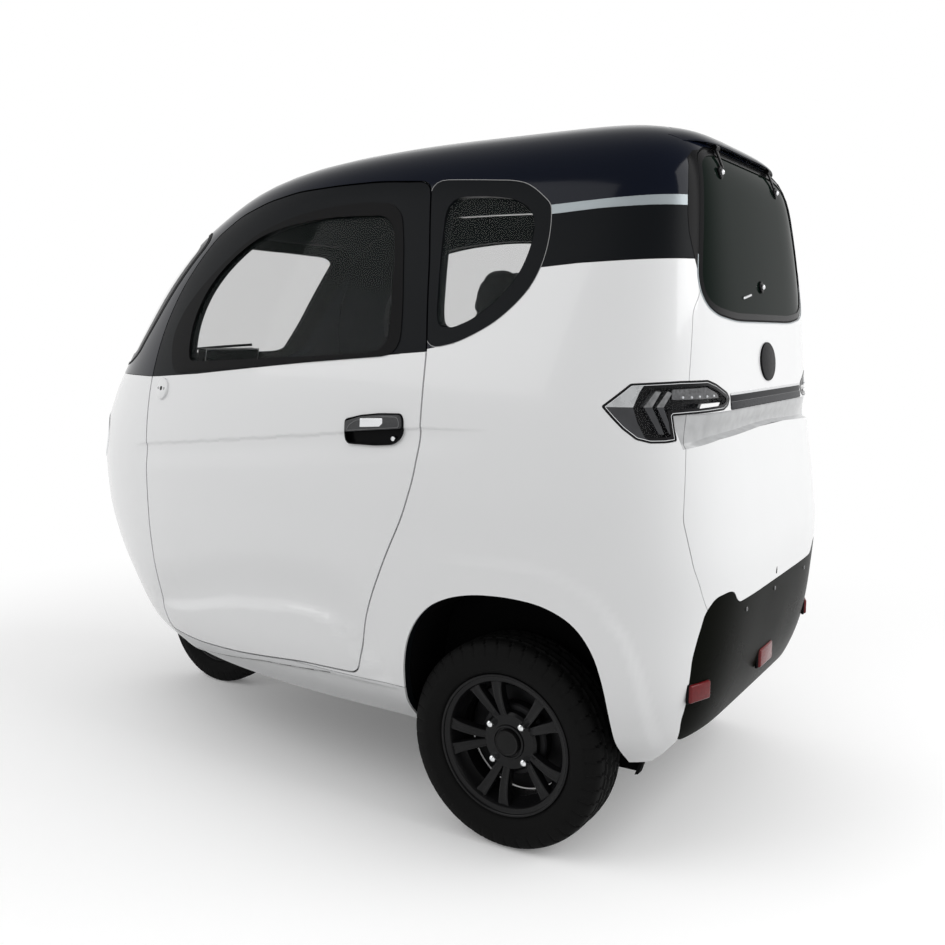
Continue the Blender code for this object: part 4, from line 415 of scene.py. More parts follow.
# Every finish: the slot it belongs to, its name, colour and roughness, and what sets it apart
FINISHES = {
    "white": ("white_paint", "white_gloss", (0.82, 0.825, 0.83), 0.22, dict(
        grain=0.015, grain_scale=160, spread=0.04, variation=0.012, specular=0.4, coat=0.4,
        coat_roughness=0.06)),
    # The white paint darkened to grey: painted shade in the recess under the light bar
    "recess": ("white_paint", "white_painted_shade", (0.44, 0.445, 0.45), 0.16, dict(
        grain=0.05, spread=0.06, grain_scale=60, variation=0.22, scale=34, specular=0.4)),
    "navy": ("navy_paint", "navy_gloss", (0.003, 0.0048, 0.0115), 0.12, dict(
        grain=0.012, spread=0.03, grain_scale=160, specular=0.13, coat=0.04, coat_roughness=0.03)),
    "matte": ("black_plastic", "matte_black", (0.0048, 0.0058, 0.0072), 0.42, dict(
        grain=0.25, specular=0.08)),
    "bumper": ("black_plastic", "bumper_black", (0.0045, 0.0050, 0.0038), 0.28, dict(
        grain=0.2, spread=0.08, specular=0.008)),
    "stripe": ("grey_plastic", "silver_stripe", (0.36, 0.40, 0.42), 0.32, dict(
        metallic=0.25, grain=0.05, specular=0.3)),
    "rubber": ("black_plastic", "seal_rubber", (0.0045, 0.0045, 0.005), 0.60, dict(
        grain=0.25, specular=0.1)),
    "grey": ("grey_plastic", "grey_plastic_fine", (0.030, 0.031, 0.033), 0.52, dict(
        grain=0.35, grain_scale=500, specular=0.2)),
    "under": ("grey_plastic", "under_black", (0.0032, 0.0032, 0.0034), 0.80, dict(
        grain=0.5, spread=0.08, grain_scale=300, specular=0.05)),
    "sill": ("grey_plastic", "sill_grey", (0.66, 0.665, 0.67), 0.36, dict(grain=0.12)),
    # Painted shadow for the line under the top edge of the sill's slot
    "groove": ("black_plastic", "groove_painted_shadow", (0.16, 0.16, 0.16), 0.60, dict(grain=0.2)),
    # Painted highlight for the seam round the quarter frame
    "seam_painted_highlight": ("grey_plastic", "seam_painted_highlight", (0.34, 0.34, 0.34), 0.40, dict(grain=0.10)),
    "liner": ("black_plastic", "cabin_liner", (0.010, 0.0115, 0.015), 0.80, dict(
        grain=0.25, spread=0.08, grain_scale=240, scale=9, variation=0.18, specular=0.08)),
    "glass": ("tinted_glass", "window_tint", (0.010, 0.016, 0.014), 0.03, dict(
        spread=0.01, alpha=0.14, specular=0.35)),
    "dark_glass": ("tinted_glass", "rear_tint", (0.0035, 0.0075, 0.0055), 0.03, dict(
        spread=0.01, alpha=0.985, specular=0.014)),
    "smoke": ("smoked_lens", "smoked_cover", (0.02, 0.021, 0.023), 0.04, dict(
        spread=0.02, alpha=0.10, specular=0.3)),
    "lamp_edge": ("smoked_lens", "lamp_edge", (0.005, 0.005, 0.006), 0.16, dict(
        spread=0.05, grain=0.05, specular=0.15)),
    # Painted highlight: the tip's upper faces made lighter than its lower ones
    "lamp_silver_painted_highlight": ("smoked_lens", "lamp_silver_painted_highlight", (0.50, 0.51, 0.52), 0.28, dict(
        metallic=0.35, spread=0.10, grain=0.2, grain_scale=260, variation=0.45, scale=28, coat=0.3,
        coat_roughness=0.04)),
    # Dark grey, also painted shade on the lower faces of the tip and the blades
    "lamp_grey_and_painted_shade": ("smoked_lens", "lamp_grey_and_painted_shade", (0.050, 0.051, 0.055), 0.24, dict(
        metallic=0.2, spread=0.06, variation=0.35, scale=30, specular=0.3)),
    "lamp_mottled": ("smoked_lens", "lamp_mottled", (0.120, 0.121, 0.125), 0.22, dict(
        metallic=0.2, spread=0.12, scale=170, variation=0.85, specular=0.2)),
    # Painted highlight on the upper halves of the blades
    "lamp_blade_painted_highlight": ("smoked_lens", "lamp_blade_painted_highlight", (0.200, 0.203, 0.207), 0.20, dict(
        metallic=0.35, spread=0.10, scale=90, variation=0.75, grain=0.3, grain_scale=200, specular=0.35)),
    "lamp_white": ("clear_lens", "lamp_white", (0.92, 0.92, 0.92), 0.25, dict(spread=0.05)),
    "bar_lens": ("smoked_lens", "bar_cover", (0.005, 0.006, 0.008), 0.08, dict(spread=0.03, specular=0.03)),
    "bar_grey": ("smoked_lens", "bar_lower", (0.026, 0.027, 0.030), 0.20, dict(
        spread=0.08, scale=120, variation=0.5, specular=0.04)),
    "gloss_black": ("black_plastic", "black_glossy", (0.004, 0.004, 0.0045), 0.22, dict(
        spread=0.06, grain=0.08, specular=0.05)),
    "badge": ("black_plastic", "badge_black", (0.006, 0.006, 0.007), 0.34, dict(
        spread=0.12, grain=0.5, grain_scale=220, variation=0.8, scale=140, specular=0.04)),
    "handle": ("black_plastic", "handle_grain", (0.050, 0.051, 0.053), 0.36, dict(
        spread=0.08, grain=0.9, grain_scale=420, variation=0.55, scale=260, specular=0.25)),
    "handle_line": ("black_plastic", "handle_line", (0.17, 0.172, 0.175), 0.30, dict(
        spread=0.06, grain=0.3)),
    "cap": ("black_plastic", "cap_black", (0.006, 0.006, 0.006), 0.35, dict(
        spread=0.08, grain=0.2, specular=0.15)),
    "red": ("smoked_lens", "red_lamp", (0.135, 0.007, 0.009), 0.20, dict(
        spread=0.06, grain=0.6, grain_scale=240, variation=0.45, scale=120, specular=0.25)),
    "clear": ("clear_lens", "clear_lamp", (0.72, 0.74, 0.76), 0.10, dict(spread=0.04)),
    "clear_cover": ("clear_lens", "clear_cover", (0.55, 0.57, 0.58), 0.03, dict(
        spread=0.01, alpha=0.08, specular=0.5)),
    "chrome": ("bright_steel", "chrome_bright", (0.72, 0.73, 0.74), 0.14, dict(
        metallic=1.0, spread=0.06, grain=0.03, variation=0.06, scale=20)),
    "steel": ("frame_steel", "frame_coat", (0.010, 0.010, 0.011), 0.45, dict(
        metallic=0.2, grain=0.2, specular=0.2)),
    "alloy": ("black_alloy", "alloy_black", (0.0055, 0.0055, 0.006), 0.26, dict(
        metallic=0.1, grain=0.06, specular=0.2)),
    "tyre": ("tyre_rubber", "tyre_black", (0.0042, 0.0042, 0.0042), 0.70, dict(
        grain=0.4, scale=12, variation=0.25, specular=0.09)),
    "fabric": ("seat_fabric", "seat_cloth", (0.022, 0.023, 0.027), 0.85, dict(
        grain=0.8, scale=14, grain_scale=900, variation=0.15, sheen=0.2, specular=0.2)),
    "screen": ("black_plastic", "screen_glass", (0.008, 0.010, 0.012), 0.06, dict(
        spread=0.02, specular=0.5)),
}
# The finish of each slot on the solids that stay
SLOT_MATERIAL = {
    "white_paint": "white", "navy_paint": "navy", "black_plastic": "matte", "grey_plastic": "grey",
    "tinted_glass": "glass", "smoked_lens": "smoke", "clear_lens": "clear", "frame_steel": "steel",
    "bright_steel": "chrome", "black_alloy": "alloy", "tyre_rubber": "tyre", "seat_fabric": "fabric",
}
# The body's finishes whose inner side shows the cabin's liner
LINED = ("white", "navy", "matte", "stripe", "sill", "bumper")


def add_node(tree, kind, inputs=(), **settings):
    """A new node whose inputs are given as values or as the sockets that feed them."""
    node = tree.nodes.new("ShaderNode" + kind)
    for name, value in settings.items():
        setattr(node, name, value)
    for socket, value in dict(inputs).items():
        if isinstance(value, bpy.types.NodeSocket):
            tree.links.new(value, node.inputs[socket])
        else:
            node.inputs[socket].default_value = value
    return node


def larger(tree, first, second):
    """The larger of two values."""
    return add_node(tree, "Math", {0: first, 1: second}, operation="MAXIMUM").outputs["Value"]


def node_material(name, color, roughness, metallic=0.0, variation=0.03, spread=0.06, scale=3.0,
                  grain=0.0, grain_scale=900.0, **fixed):
    """A Principled surface whose colour and roughness drift slowly and whose grain is a fine bump."""
    material = bpy.data.materials.new(name)
    material.use_nodes = True
    tree = material.node_tree
    shader = tree.nodes["Principled BSDF"].inputs
    place = add_node(tree, "TexCoord").outputs["Object"]
    drift = add_node(tree, "TexNoise", {"Scale": scale, "Detail": 6, "Vector": place}).outputs["Fac"]
    light = (*[min(c * (1 + variation), 1) for c in color], 1)
    dark = (*[c * (1 - variation) for c in color], 1)
    tint = add_node(tree, "Mix", {"A": dark, "B": light, "Factor": drift}, data_type="RGBA")
    tree.links.new(tint.outputs["Result"], shader["Base Color"])
    rough = add_node(tree, "MapRange", {
        "To Min": max(roughness - spread, LEAST_ROUGHNESS), "To Max": roughness + spread, "Value": drift})
    tree.links.new(rough.outputs["Result"], shader["Roughness"])
    shader["Metallic"].default_value = metallic
    for word, value in fixed.items():
        shader[SHADER_INPUTS[word]].default_value = value
    if grain:
        fine = add_node(tree, "TexNoise", {"Scale": grain_scale, "Detail": 3, "Vector": place})
        bump = add_node(tree, "Bump", {"Strength": grain, "Distance": GRAIN_HEIGHT,
                                       "Height": fine.outputs["Fac"]})
        tree.links.new(bump.outputs["Normal"], shader["Normal"])
    return material


MATERIAL = {
    key: node_material(name, color, roughness, **options)
    for key, (_, name, color, roughness, options) in FINISHES.items()
}


# Mesh helpers
def new_object(name, mesh):
    obj = bpy.data.objects.new(name, mesh)
    bpy.context.scene.collection.objects.link(obj)
    return obj


def drop(obj):
    bpy.data.objects.remove(obj, do_unlink=True)


def evaluated_mesh(obj):
    bpy.context.view_layer.update()
    return bpy.data.meshes.new_from_object(obj.evaluated_get(bpy.context.evaluated_depsgraph_get()))


def combine(mesh, steps):
    """Cut (mesh, outline prism) pairs one after another: each step is an operation and a mesh."""
    obj = new_object("work", mesh.copy())
    tools = []
    for operation, tool_mesh in steps:
        tool = new_object("tool", tool_mesh)
        tools.append(tool)
        modifier = obj.modifiers.new("cut", "BOOLEAN")
        modifier.operation = operation
        modifier.solver = "MANIFOLD"
        modifier.object = tool
    result = evaluated_mesh(obj)
    for item in [obj, *tools]:
        drop(item)
    return result


def mirrored(mesh):
    other = mesh.copy()
    other.transform(Matrix.Scale(-1, 4, (1, 0, 0)))
    other.flip_normals()
    return other


# Outlines
def filleted(points, radius=0.03, steps=5, least=0.0012):
    rounded = []
    count = len(points)
    for i in range(count):
        corner = Vector(points[i])
        before = Vector(points[i - 1]) - corner
        after = Vector(points[(i + 1) % count]) - corner
        reach = min(radius, before.length / 2, after.length / 2)
        start = corner + before.normalized() * reach
        end = corner + after.normalized() * reach
        for step in range(steps + 1):
            t = step / steps
            point = start * (1 - t) ** 2 + corner * 2 * t * (1 - t) + end * t**2
            if not rounded or (point - rounded[-1]).length > least:
                rounded.append(point)
    if (rounded[0] - rounded[-1]).length < least:
        rounded.pop()
    return rounded


def widened(points, distance):
    count = len(points)
    area = sum(
        points[i - 1][0] * points[i][1] - points[i][0] * points[i - 1][1] for i in range(count)
    )
    turn = math.copysign(1, area)
    moved = []
    for i in range(count):
        here = Vector(points[i])
        before = (here - Vector(points[i - 1])).normalized()
        after = (Vector(points[(i + 1) % count]) - here).normalized()
        normal = Vector((before.y + after.y, -before.x - after.x)) * turn
        cosine = max(normal.length / 2, 0.5)
        moved.append(here + normal.normalized() * distance / cosine)
    return moved


def half_outline(points):
    return list(points) + [(-x, z) for x, z in reversed(points)]


def prism(points, view, centre, half_depth):
    """A flat outline extruded both ways along the normal of its view."""
    across, up = view
    normal = across.cross(up)
    bm = bmesh.new()
    ring = [Vector(centre) + across * u + up * v for u, v in points]
    low = [bm.verts.new(p - normal * half_depth) for p in ring]
    high = [bm.verts.new(p + normal * half_depth) for p in ring]
    for i in range(len(ring)):
        j = (i + 1) % len(ring)
        bm.faces.new((low[i], low[j], high[j], high[i]))
    bmesh.ops.triangulate(bm, faces=[bm.faces.new(low), bm.faces.new(high)])
    bmesh.ops.recalc_face_normals(bm, faces=bm.faces)
    mesh = bpy.data.meshes.new("prism")
    bm.to_mesh(mesh)
    bm.free()
    return mesh


def side_prism(points, low=-OUTSIDE, high=OUTSIDE):
    return prism(points, SIDE, ((low + high) / 2, 0, 0), (high - low) / 2)


def rear_prism(points, low=WIDEST_Y, high=FAR):
    return prism(points, REAR, (0, (low + high) / 2, 0), (high - low) / 2)


def front_prism(points):
    return rear_prism(points, -FAR, 0)


def lamp_prism(points):
    return prism(points, LAMP_VIEW, LAMP_OUTWARD * BODY_REACH, BODY_HALF_WIDTH)


# The body's surface
def hermite_slopes(xs, ys):
    steps = np.diff(ys) / np.diff(xs)
    slopes = np.zeros(len(xs))
    for i in range(1, len(xs) - 1):
        if steps[i - 1] * steps[i] > 0:
            slopes[i] = 2 / (1 / steps[i - 1] + 1 / steps[i])
    slopes[0] = steps[0]
    slopes[-1] = steps[-1]
    return slopes


def section_table(count=1715):
    """Half width, nose, tail and rear power at close heights, smooth through the given sections."""
    rows = np.array(SECTION_SHARES)
    heights = rows[:, 0]
    shares = np.linspace(heights[0], heights[-1], count)
    slopes = [hermite_slopes(heights, rows[:, c]) for c in range(1, 5)]

    def exact(share):
        i = np.clip(np.searchsorted(heights, share, side="right") - 1, 0, len(heights) - 2)
        span = heights[i + 1] - heights[i]
        t = (share - heights[i]) / span
        columns = []
        for c in range(4):
            ys = rows[:, c + 1]
            columns.append(
                (2 * t**3 - 3 * t**2 + 1) * ys[i] + (t**3 - 2 * t**2 + t) * span * slopes[c][i]
                + (3 * t**2 - 2 * t**3) * ys[i + 1] + (t**3 - t**2) * span * slopes[c][i + 1]
            )
        return np.array(columns)

    room = np.minimum(1, np.minimum(shares - heights[0], heights[-1] - shares) / 0.02)
    values = sum(weight * exact(shares + move * room) for move, weight in BLEND_SHARES)
    return shares, values


TABLE_SHARES, TABLE = section_table()


def section_at(share):
    return [np.interp(share, TABLE_SHARES, column) for column in TABLE]


def fade(value, start, end):
    """Rise smoothly from nothing at start to one at end."""
    t = np.clip((value - start) / (end - start), 0, 1)
    return t * t * (3 - 2 * t)


def relief(y, z):
    """How far the side's skin lies inside its plain form: a soft crease, a swoosh and the sill's slot."""
    y, z = np.asarray(y, float), np.asarray(z, float)
    below = np.interp(y, *np.array(CREASE).T) - z
    depth = CREASE_DEPTH * fade(below, 0, 0.010) * (1 - fade(below, 0.018, 0.085))
    depth = depth * fade(y, -0.66, -0.58) * (1 - fade(y, 0.42, 0.60))
    line = np.array(SWOOSH).T
    slope = np.interp(y + 0.004, *line) - np.interp(y - 0.004, *line)
    above = (z - np.interp(y, *line)) / np.sqrt(1 + (slope / 0.008) ** 2)
    valley = (1 - fade(above, 0, 0.13)) * fade(above, -0.035, 0)
    depth = depth + SWOOSH_DEPTH * valley * fade(y, -0.64, -0.48) * (1 - fade(y, 0.290, 0.345))
    under = np.interp(y, *np.array(SLOT).T) - z
    slot = fade(under, 0, 0.007) * fade(y, -0.53, -0.49) * (1 - fade(y, 0.32, 0.38))
    return depth + SLOT_DEPTH * slot - flare(y, z)


def flare(y, z):
    """How far the wheel arch's border swells out of the skin."""
    points = np.array(ARCH)
    start, run = points[:-1], points[1:] - points[:-1]
    away = np.stack([y - start[:, :1], z - start[:, 1:] + 0 * y])
    share = (away[0] * run[:, :1] + away[1] * run[:, 1:]) / (run**2).sum(axis=1, keepdims=True)
    share = np.clip(share, 0, 1)
    far = np.hypot(away[0] - share * run[:, :1], away[1] - share * run[:, 1:]).min(axis=0)
    swell = (1 - fade(far, FLARE_WIDTH, FLARE_WIDTH + 0.030)) * fade(y, FLARE_FRONT, FLARE_FRONT + 0.18)
    return FLARE_DEPTH * swell * (1 - 0.6 * fade(z, 0.5, 0.66))


def body_ring(share, inset):
    width, nose, tail, power = section_at(share)
    width = max(width * BODY_HALF_WIDTH - inset, 0.003)
    nose = nose * BODY_REACH + inset
    tail = tail * BODY_REACH - inset
    height = share * BODY_HEIGHT - inset * share**ROOF_BLEND
    left = []
    for step in range(NOSE_STEPS + 1):
        angle = math.pi / 2 * step / NOSE_STEPS
        left.append((width * math.sin(angle) ** (2 / NOSE_ROUNDNESS),
                     WIDEST_Y - (WIDEST_Y - nose) * math.cos(angle) ** (2 / NOSE_ROUNDNESS)))
    for step in range(1, TAIL_STEPS + 1):
        angle = math.pi / 2 * step / TAIL_STEPS
        left.append((width * max(math.cos(angle), 0) ** (2 / power),
                     WIDEST_Y + (tail - WIDEST_Y) * math.sin(angle) ** (2 / power)))
    left[0] = (0, nose)
    left[-1] = (0, tail)
    inward = relief([y for _, y in left], height)
    left = [(min(max(x - d, 0), BODY_HALF_WIDTH + 0.0025), y, height) for (x, y), d in zip(left, inward)]
    return left + [(-x, y, z) for x, y, z in reversed(left[1:-1])]


def ring_shares():
    low, high = SECTION_SHARES[0][0], SECTION_SHARES[-1][0]
    even = np.linspace(0, 1, RINGS)
    shares = list(low + (high - low) * (1 - (1 - even) ** 1.5))
    for start, end, step in FINE_HEIGHTS:
        start, end = start / BODY_HEIGHT, end / BODY_HEIGHT
        shares = [share for share in shares if not start < share < end or share in (low, high)]
        shares += [share for share in np.arange(start, end, step / BODY_HEIGHT) if share > low]
    shares.sort()
    return [share for i, share in enumerate(shares) if not i or share - shares[i - 1] > 0.0005]


def body_mesh(inset, drop_low=0.0):
    """The body's outer form as a loft of plan curves, its lowest ring moved down by the drop."""
    bm = bmesh.new()
    rings = [body_ring(share, inset) for share in ring_shares()]
    if drop_low:
        rings.insert(0, [(x, y, z - drop_low) for x, y, z in rings[0]])
    loops = [[bm.verts.new(point) for point in ring] for ring in rings]
    for low, high in zip(loops, loops[1:]):
        for i in range(len(low)):
            j = (i + 1) % len(low)
            bm.faces.new((low[i], low[j], high[j], high[i]))
    bm.faces.new(loops[0])
    bm.faces.new(loops[-1])
    bmesh.ops.recalc_face_normals(bm, faces=bm.faces)
    mesh = bpy.data.meshes.new("body")
    bm.to_mesh(mesh)
    bm.free()
    return mesh


def surface_normals(points):
    """The skin's outward direction at points on it or just beneath it."""
    def level(p):
        x, y, z = np.abs(p[:, 0]), p[:, 1], p[:, 2]
        x = x + relief(y, z)
        width, nose, tail, power = section_at(z / BODY_HEIGHT)
        fore = y < WIDEST_Y
        end = np.where(fore, nose, tail) * BODY_REACH - WIDEST_Y
        power = np.where(fore, NOSE_ROUNDNESS, power)
        reach = np.abs((y - WIDEST_Y) / end)
        return (x / (width * BODY_HALF_WIDTH)) ** power + reach**power

    normals = np.zeros_like(points)
    for axis in range(3):
        move = np.zeros(3)
        move[axis] = PROBE
        normals[:, axis] = level(points + move) - level(points - move)
    length = np.linalg.norm(normals, axis=1, keepdims=True)
    return normals / np.maximum(length, 1e-12)


def vectors(items, field="co"):
    """One field of three numbers of every item, as rows."""
    values = np.empty(len(items) * 3)
    items.foreach_get(field, values)
    return values.reshape(-1, 3)


def shade(mesh, skin):
    """Smooth shading, with the body's own curvature wherever a face lies along the skin."""
    mesh.shade_smooth()
    mesh.set_sharp_from_angle(angle=SHARP_ANGLE)
    if not skin:
        return
    points = vectors(mesh.vertices)
    vertex_of = np.empty(len(mesh.loops), np.int32)
    mesh.loops.foreach_get("vertex_index", vertex_of)
    sizes = np.empty(len(mesh.polygons), np.int32)
    mesh.polygons.foreach_get("loop_total", sizes)
    flat = np.repeat(vectors(mesh.polygons, "normal"), sizes, axis=0)
    true = surface_normals(points)[vertex_of]
    along = (flat * true).sum(axis=1)
    low_enough = points[vertex_of][:, 2] < BODY_HEIGHT * SHADED_SHARE
    on_skin = ((along > ON_SKIN) & low_enough)[:, None]
    chosen = np.where(on_skin, true, vectors(mesh.corner_normals, "vector"))
    mesh.normals_split_custom_set(chosen.tolist())
    if len(mesh.materials) > 1:
        starts = np.concatenate([[0], np.cumsum(sizes)[:-1]])
        mesh.polygons.foreach_set("material_index", (along[starts] < FACES_IN).astype(np.int32))


def piece(name, mesh, body, finish, nodes=(), skin=True):
    """Put a finished mesh in the scene on its body, in place of the named solids."""
    obj = new_object(name, mesh)
    mesh.materials.clear()
    mesh.materials.append(MATERIAL[finish])
    if skin and finish in LINED:
        mesh.materials.append(MATERIAL["liner"])
    shade(mesh, skin)
    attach(obj, body)
    if nodes:
        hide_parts(*nodes)
    return obj


def both_sides(name, mesh, body, finish, nodes=(), skin=True):
    """The left piece and its mirror image, with 'left' in the names turned to 'right'."""
    other = mirrored(mesh)
    piece(name, mesh, body, finish, nodes, skin)
    swapped = [node.replace("left", "right") for node in nodes]
    piece(name.replace("left", "right"), other, body.replace("left", "right"), finish, swapped, skin)


# Panels
def region_between(low_line, high_line):
    return list(low_line) + list(reversed(high_line))


def upper_region(margin=0.0):
    top = BODY_HEIGHT + OVERRUN
    edge = [(y, z + margin) for y, z in ROOF_EDGE]
    return edge + [(edge[-1][0], top), (edge[0][0], top)]


def lower_region(front, back, margin=0.0):
    ys, zs = np.array(ROOF_EDGE).T
    edge = [(y, z - margin) for y, z in ROOF_EDGE if front < y < back]
    first, last = np.interp(front, ys, zs) - margin, np.interp(back, ys, zs) - margin
    return [(front, 0), (front, first), *edge, (back, last), (back, 0)]


def waist_line(margin):
    """What lies above the line between the door's painted half and its dark frame."""
    line = ((-0.80, 1.052), (-0.667, 1.058), (-0.532, 1.064), (-0.336, 1.076), (0.041, 1.109),
            (0.255, 1.128), (0.60, 1.152))
    top = BODY_HEIGHT + OVERRUN
    return [(y, z + margin) for y, z in line] + [(line[-1][0], top), (line[0][0], top)]


def open_below(outline):
    """The gap under the bumper, between the two lower corners."""
    x, z = outline[-3][0], outline[-1][1]
    return [(x, 0), (x, z), (-x, z), (-x, 0)]


OUTLINE = {
    "door": filleted(DOOR), "window": filleted(WINDOW, 0.06), "seal": filleted(SEAL, 0.06),
    "quarter": filleted(QUARTER_GLASS, 0.05), "frame": filleted(QUARTER_FRAME, 0.05),
    "arch": filleted(ARCH, 0.06), "rear_glass": filleted(half_outline(REAR_GLASS), 0.06),
    "rear_panel": filleted(half_outline(REAR_PANEL), 0.015),
    "bumper": filleted(half_outline(BUMPER), 0.015), "tail_lamp": filleted(TAIL_LAMP, 0.0035, 3),
    "windshield": filleted(half_outline(WINDSHIELD), 0.06),
}


def lamp_cutters(margin):
    left = lamp_prism(widened(OUTLINE["tail_lamp"], margin))
    return [left, mirrored(left)]


def cut(*meshes):
    return [("DIFFERENCE", mesh) for mesh in meshes]


def keep(*meshes):
    return [("INTERSECT", mesh) for mesh in meshes]


def make_roof(shell):
    upper = keep(side_prism(upper_region(HAIRLINE / 2)))
    openings = cut(
        side_prism(widened(OUTLINE["door"], SEAM)),
        side_prism(widened(OUTLINE["frame"], HAIRLINE)),
        rear_prism(widened(OUTLINE["rear_glass"], SEAM)),
        front_prism(widened(OUTLINE["windshield"], HAIRLINE)),
    )
    behind = side_prism([(0.66, 1.25), (FAR, 1.25), (FAR, STRIPE_TOP[-1][1]), *reversed(STRIPE_TOP[:-1])])
    skin = combine(shell, upper + openings + cut(behind))
    piece("roof_skin", skin, "body", "navy", ["roof_shell"])
    stripe = side_prism(region_between([(y, z - 0.0004) for y, z in STRIPE_LOW],
                                       [(y, z + 0.0004) for y, z in STRIPE_TOP]))
    piece("roof_stripe", combine(shell, keep(stripe) + openings), "body", "stripe")
    under_stripe = side_prism(region_between([(0.60, 1.25), (FAR, 1.25)], STRIPE_LOW))
    mesh = combine(shell, upper + keep(under_stripe) + openings)
    piece("roof_band", mesh, "body", "matte")
    frame_ring = combine(shell, keep(side_prism(OUTLINE["frame"])) + cut(
        side_prism(widened(OUTLINE["door"], SEAM)), side_prism(widened(OUTLINE["quarter"], HAIRLINE))))
    piece("quarter_frames", frame_ring, "body", "matte")


def make_cowl(shell):
    mesh = combine(shell, keep(side_prism(lower_region(-FAR, COWL_BACK, HAIRLINE / 2))) + cut(
        *[front_prism(head_lamp_outline(side, HEAD_LAMP_RADIUS)) for side in (1, -1)],
        front_prism(wheel_cut_outline())))
    piece("cowl_skin", mesh, "body", "white", ["front_cowl"])


def head_lamp_outline(side, radius, sides=64):
    return [
        (side * HEAD_LAMP_X + radius * math.cos(2 * math.pi * i / sides),
         HEAD_LAMP_HEIGHT + radius * math.sin(2 * math.pi * i / sides))
        for i in range(sides)
    ]


def wheel_cut_outline():
    half = WHEEL_CUT_HALF_WIDTH
    points = [(half, 0), (half, WHEEL_CUT_HEIGHT), (-half, WHEEL_CUT_HEIGHT), (-half, 0)]
    return filleted(points, half * 0.6, 10)


def make_lower_body(shell):
    arch = OUTLINE["arch"]
    thinned = combine(body_mesh(0.006, OVERRUN), keep(side_prism(widened(arch, 0.030))))
    sill_box = [(COWL_BACK - 0.1, 0), (WIDEST_Y, 0), (WIDEST_Y, SILL_TOP), (COWL_BACK - 0.1, SILL_TOP)]
    mesh = combine(shell, keep(side_prism(lower_region(0, FAR, HAIRLINE / 2), 0.0003)) + cut(
        side_prism(widened(OUTLINE["door"], SEAM)),
        side_prism(widened(OUTLINE["frame"], HAIRLINE)),
        side_prism(sill_box),
        side_prism(arch),
        thinned,
        rear_prism(widened(OUTLINE["rear_panel"], HAIRLINE)),
        rear_prism(widened(OUTLINE["bumper"], HAIRLINE)),
        rear_prism(widened(OUTLINE["rear_glass"], SEAM)),
        rear_prism(recess_outline()),
        lamp_cutters(HAIRLINE)[0],
        rear_prism(open_below(BUMPER))))
    both_sides("quarter_skin_left", mesh, "body", "white", ["quarter_panel_left"])
    box = [(COWL_BACK + HAIRLINE, 0), (WIDEST_Y, 0), (WIDEST_Y, SILL_TOP - HAIRLINE),
           (COWL_BACK + HAIRLINE, SILL_TOP - HAIRLINE)]
    sill = combine(shell, keep(side_prism(box, 0.0003)) + cut(
        side_prism(widened(OUTLINE["door"], SEAM)), side_prism(arch), thinned))
    both_sides("sill_skin_left", sill, "body", "sill", ["sill_left"])
    # A dark line of painted shadow under the top edge of the sill's slot
    groove = region_between([(y, z - 0.0046) for y, z in SLOT[:-1]], [(y, z + 0.0004) for y, z in SLOT[:-1]])
    line = combine(band("sill_line"), keep(side_prism(groove, 0.0003)))
    both_sides("sill_line_left", line, "body", "groove")
    edge = combine(band("arch_edge"), keep(side_prism(widened(arch, 0.028), 0.0003)) + cut(
        side_prism(arch), rear_prism(widened(OUTLINE["bumper"], HAIRLINE))))
    both_sides("arch_edge_left", edge, "body", "matte")


def recess_outline():
    """The recess under the light bar as it shows from behind."""
    top, low = RECESS_HALF_WIDTHS
    right = [(x, z) for x, z in RECESS_LOW[1:-1]]
    edge = [(top, RECESS_TOP), (low, RECESS_LOW[-1][1])] + [(x, z) for x, z in reversed(right)]
    return edge + [(-x, z) for x, z in reversed(edge)]


def make_recess(cuts):
    """A channel that runs inwards as it goes down, with a short lip that comes back to the skin, in the
    white paint darkened as painted shade.
    """
    top, low = RECESS_HALF_WIDTHS
    maker = Maker()
    rings = []
    for u in np.linspace(-1, 1, 61):
        front = []
        for t in np.linspace(0, 1, 25):
            x = (top + (low - top) * t) * u
            z = RECESS_TOP + (np.interp(abs(low * u), *np.array(RECESS_LOW).T) - RECESS_TOP) * t
            rise = 0.18 + 0.82 * fade(t, 0, RECESS_TURN)
            depth = RECESS_DEPTH * rise * (1 - fade(t, RECESS_TURN, 1)) * (1 - 0.75 * fade(abs(u), 0.8, 1))
            front.append(Vector((x, skin_tail_y(x, z) - 0.0008 - depth, z)))
        rings.append(front + [p - Vector((0, 0.007, 0)) for p in reversed(front)])
    maker.loft(rings)
    mesh = combine(maker.mesh(), cuts)
    middle = combine(mesh, keep(rear_prism(OUTLINE["rear_panel"])))
    piece("tail_recess", middle, "body", "recess", skin=False)
    ends = combine(mesh, cut(rear_prism(widened(OUTLINE["rear_panel"], HAIRLINE))))
    piece("tail_recess_ends", ends, "body", "recess", skin=False)


def make_tail(shell):
    lamps = lamp_cutters(HAIRLINE)
    bar = rear_prism(light_bar_outline(HAIRLINE))
    cuts = cut(rear_prism(widened(OUTLINE["rear_glass"], SEAM)),
               rear_prism(widened(OUTLINE["bumper"], HAIRLINE)), bar,
               rear_prism(open_below(BUMPER)), *lamps)
    recess = rear_prism(recess_outline())
    panel = combine(shell, keep(rear_prism(OUTLINE["rear_panel"])) + cuts + cut(recess))
    piece("tail_skin", panel, "body", "white", ["rear_panel"])
    make_recess(cut(*lamp_cutters(HAIRLINE), rear_prism(light_bar_outline(HAIRLINE))))
    bumper = combine(shell, keep(rear_prism(OUTLINE["bumper"])))
    piece("bumper_skin", bumper, "body", "bumper", ["rear_bumper"])


def bar_outline(low, high):
    return [(BAR_HALF, low), (BAR_HALF, high), (-BAR_HALF, high), (-BAR_HALF, low)]


def light_bar_outline(margin):
    return widened(filleted(bar_outline(*BAR_LENS), BAR_FILLET), margin)


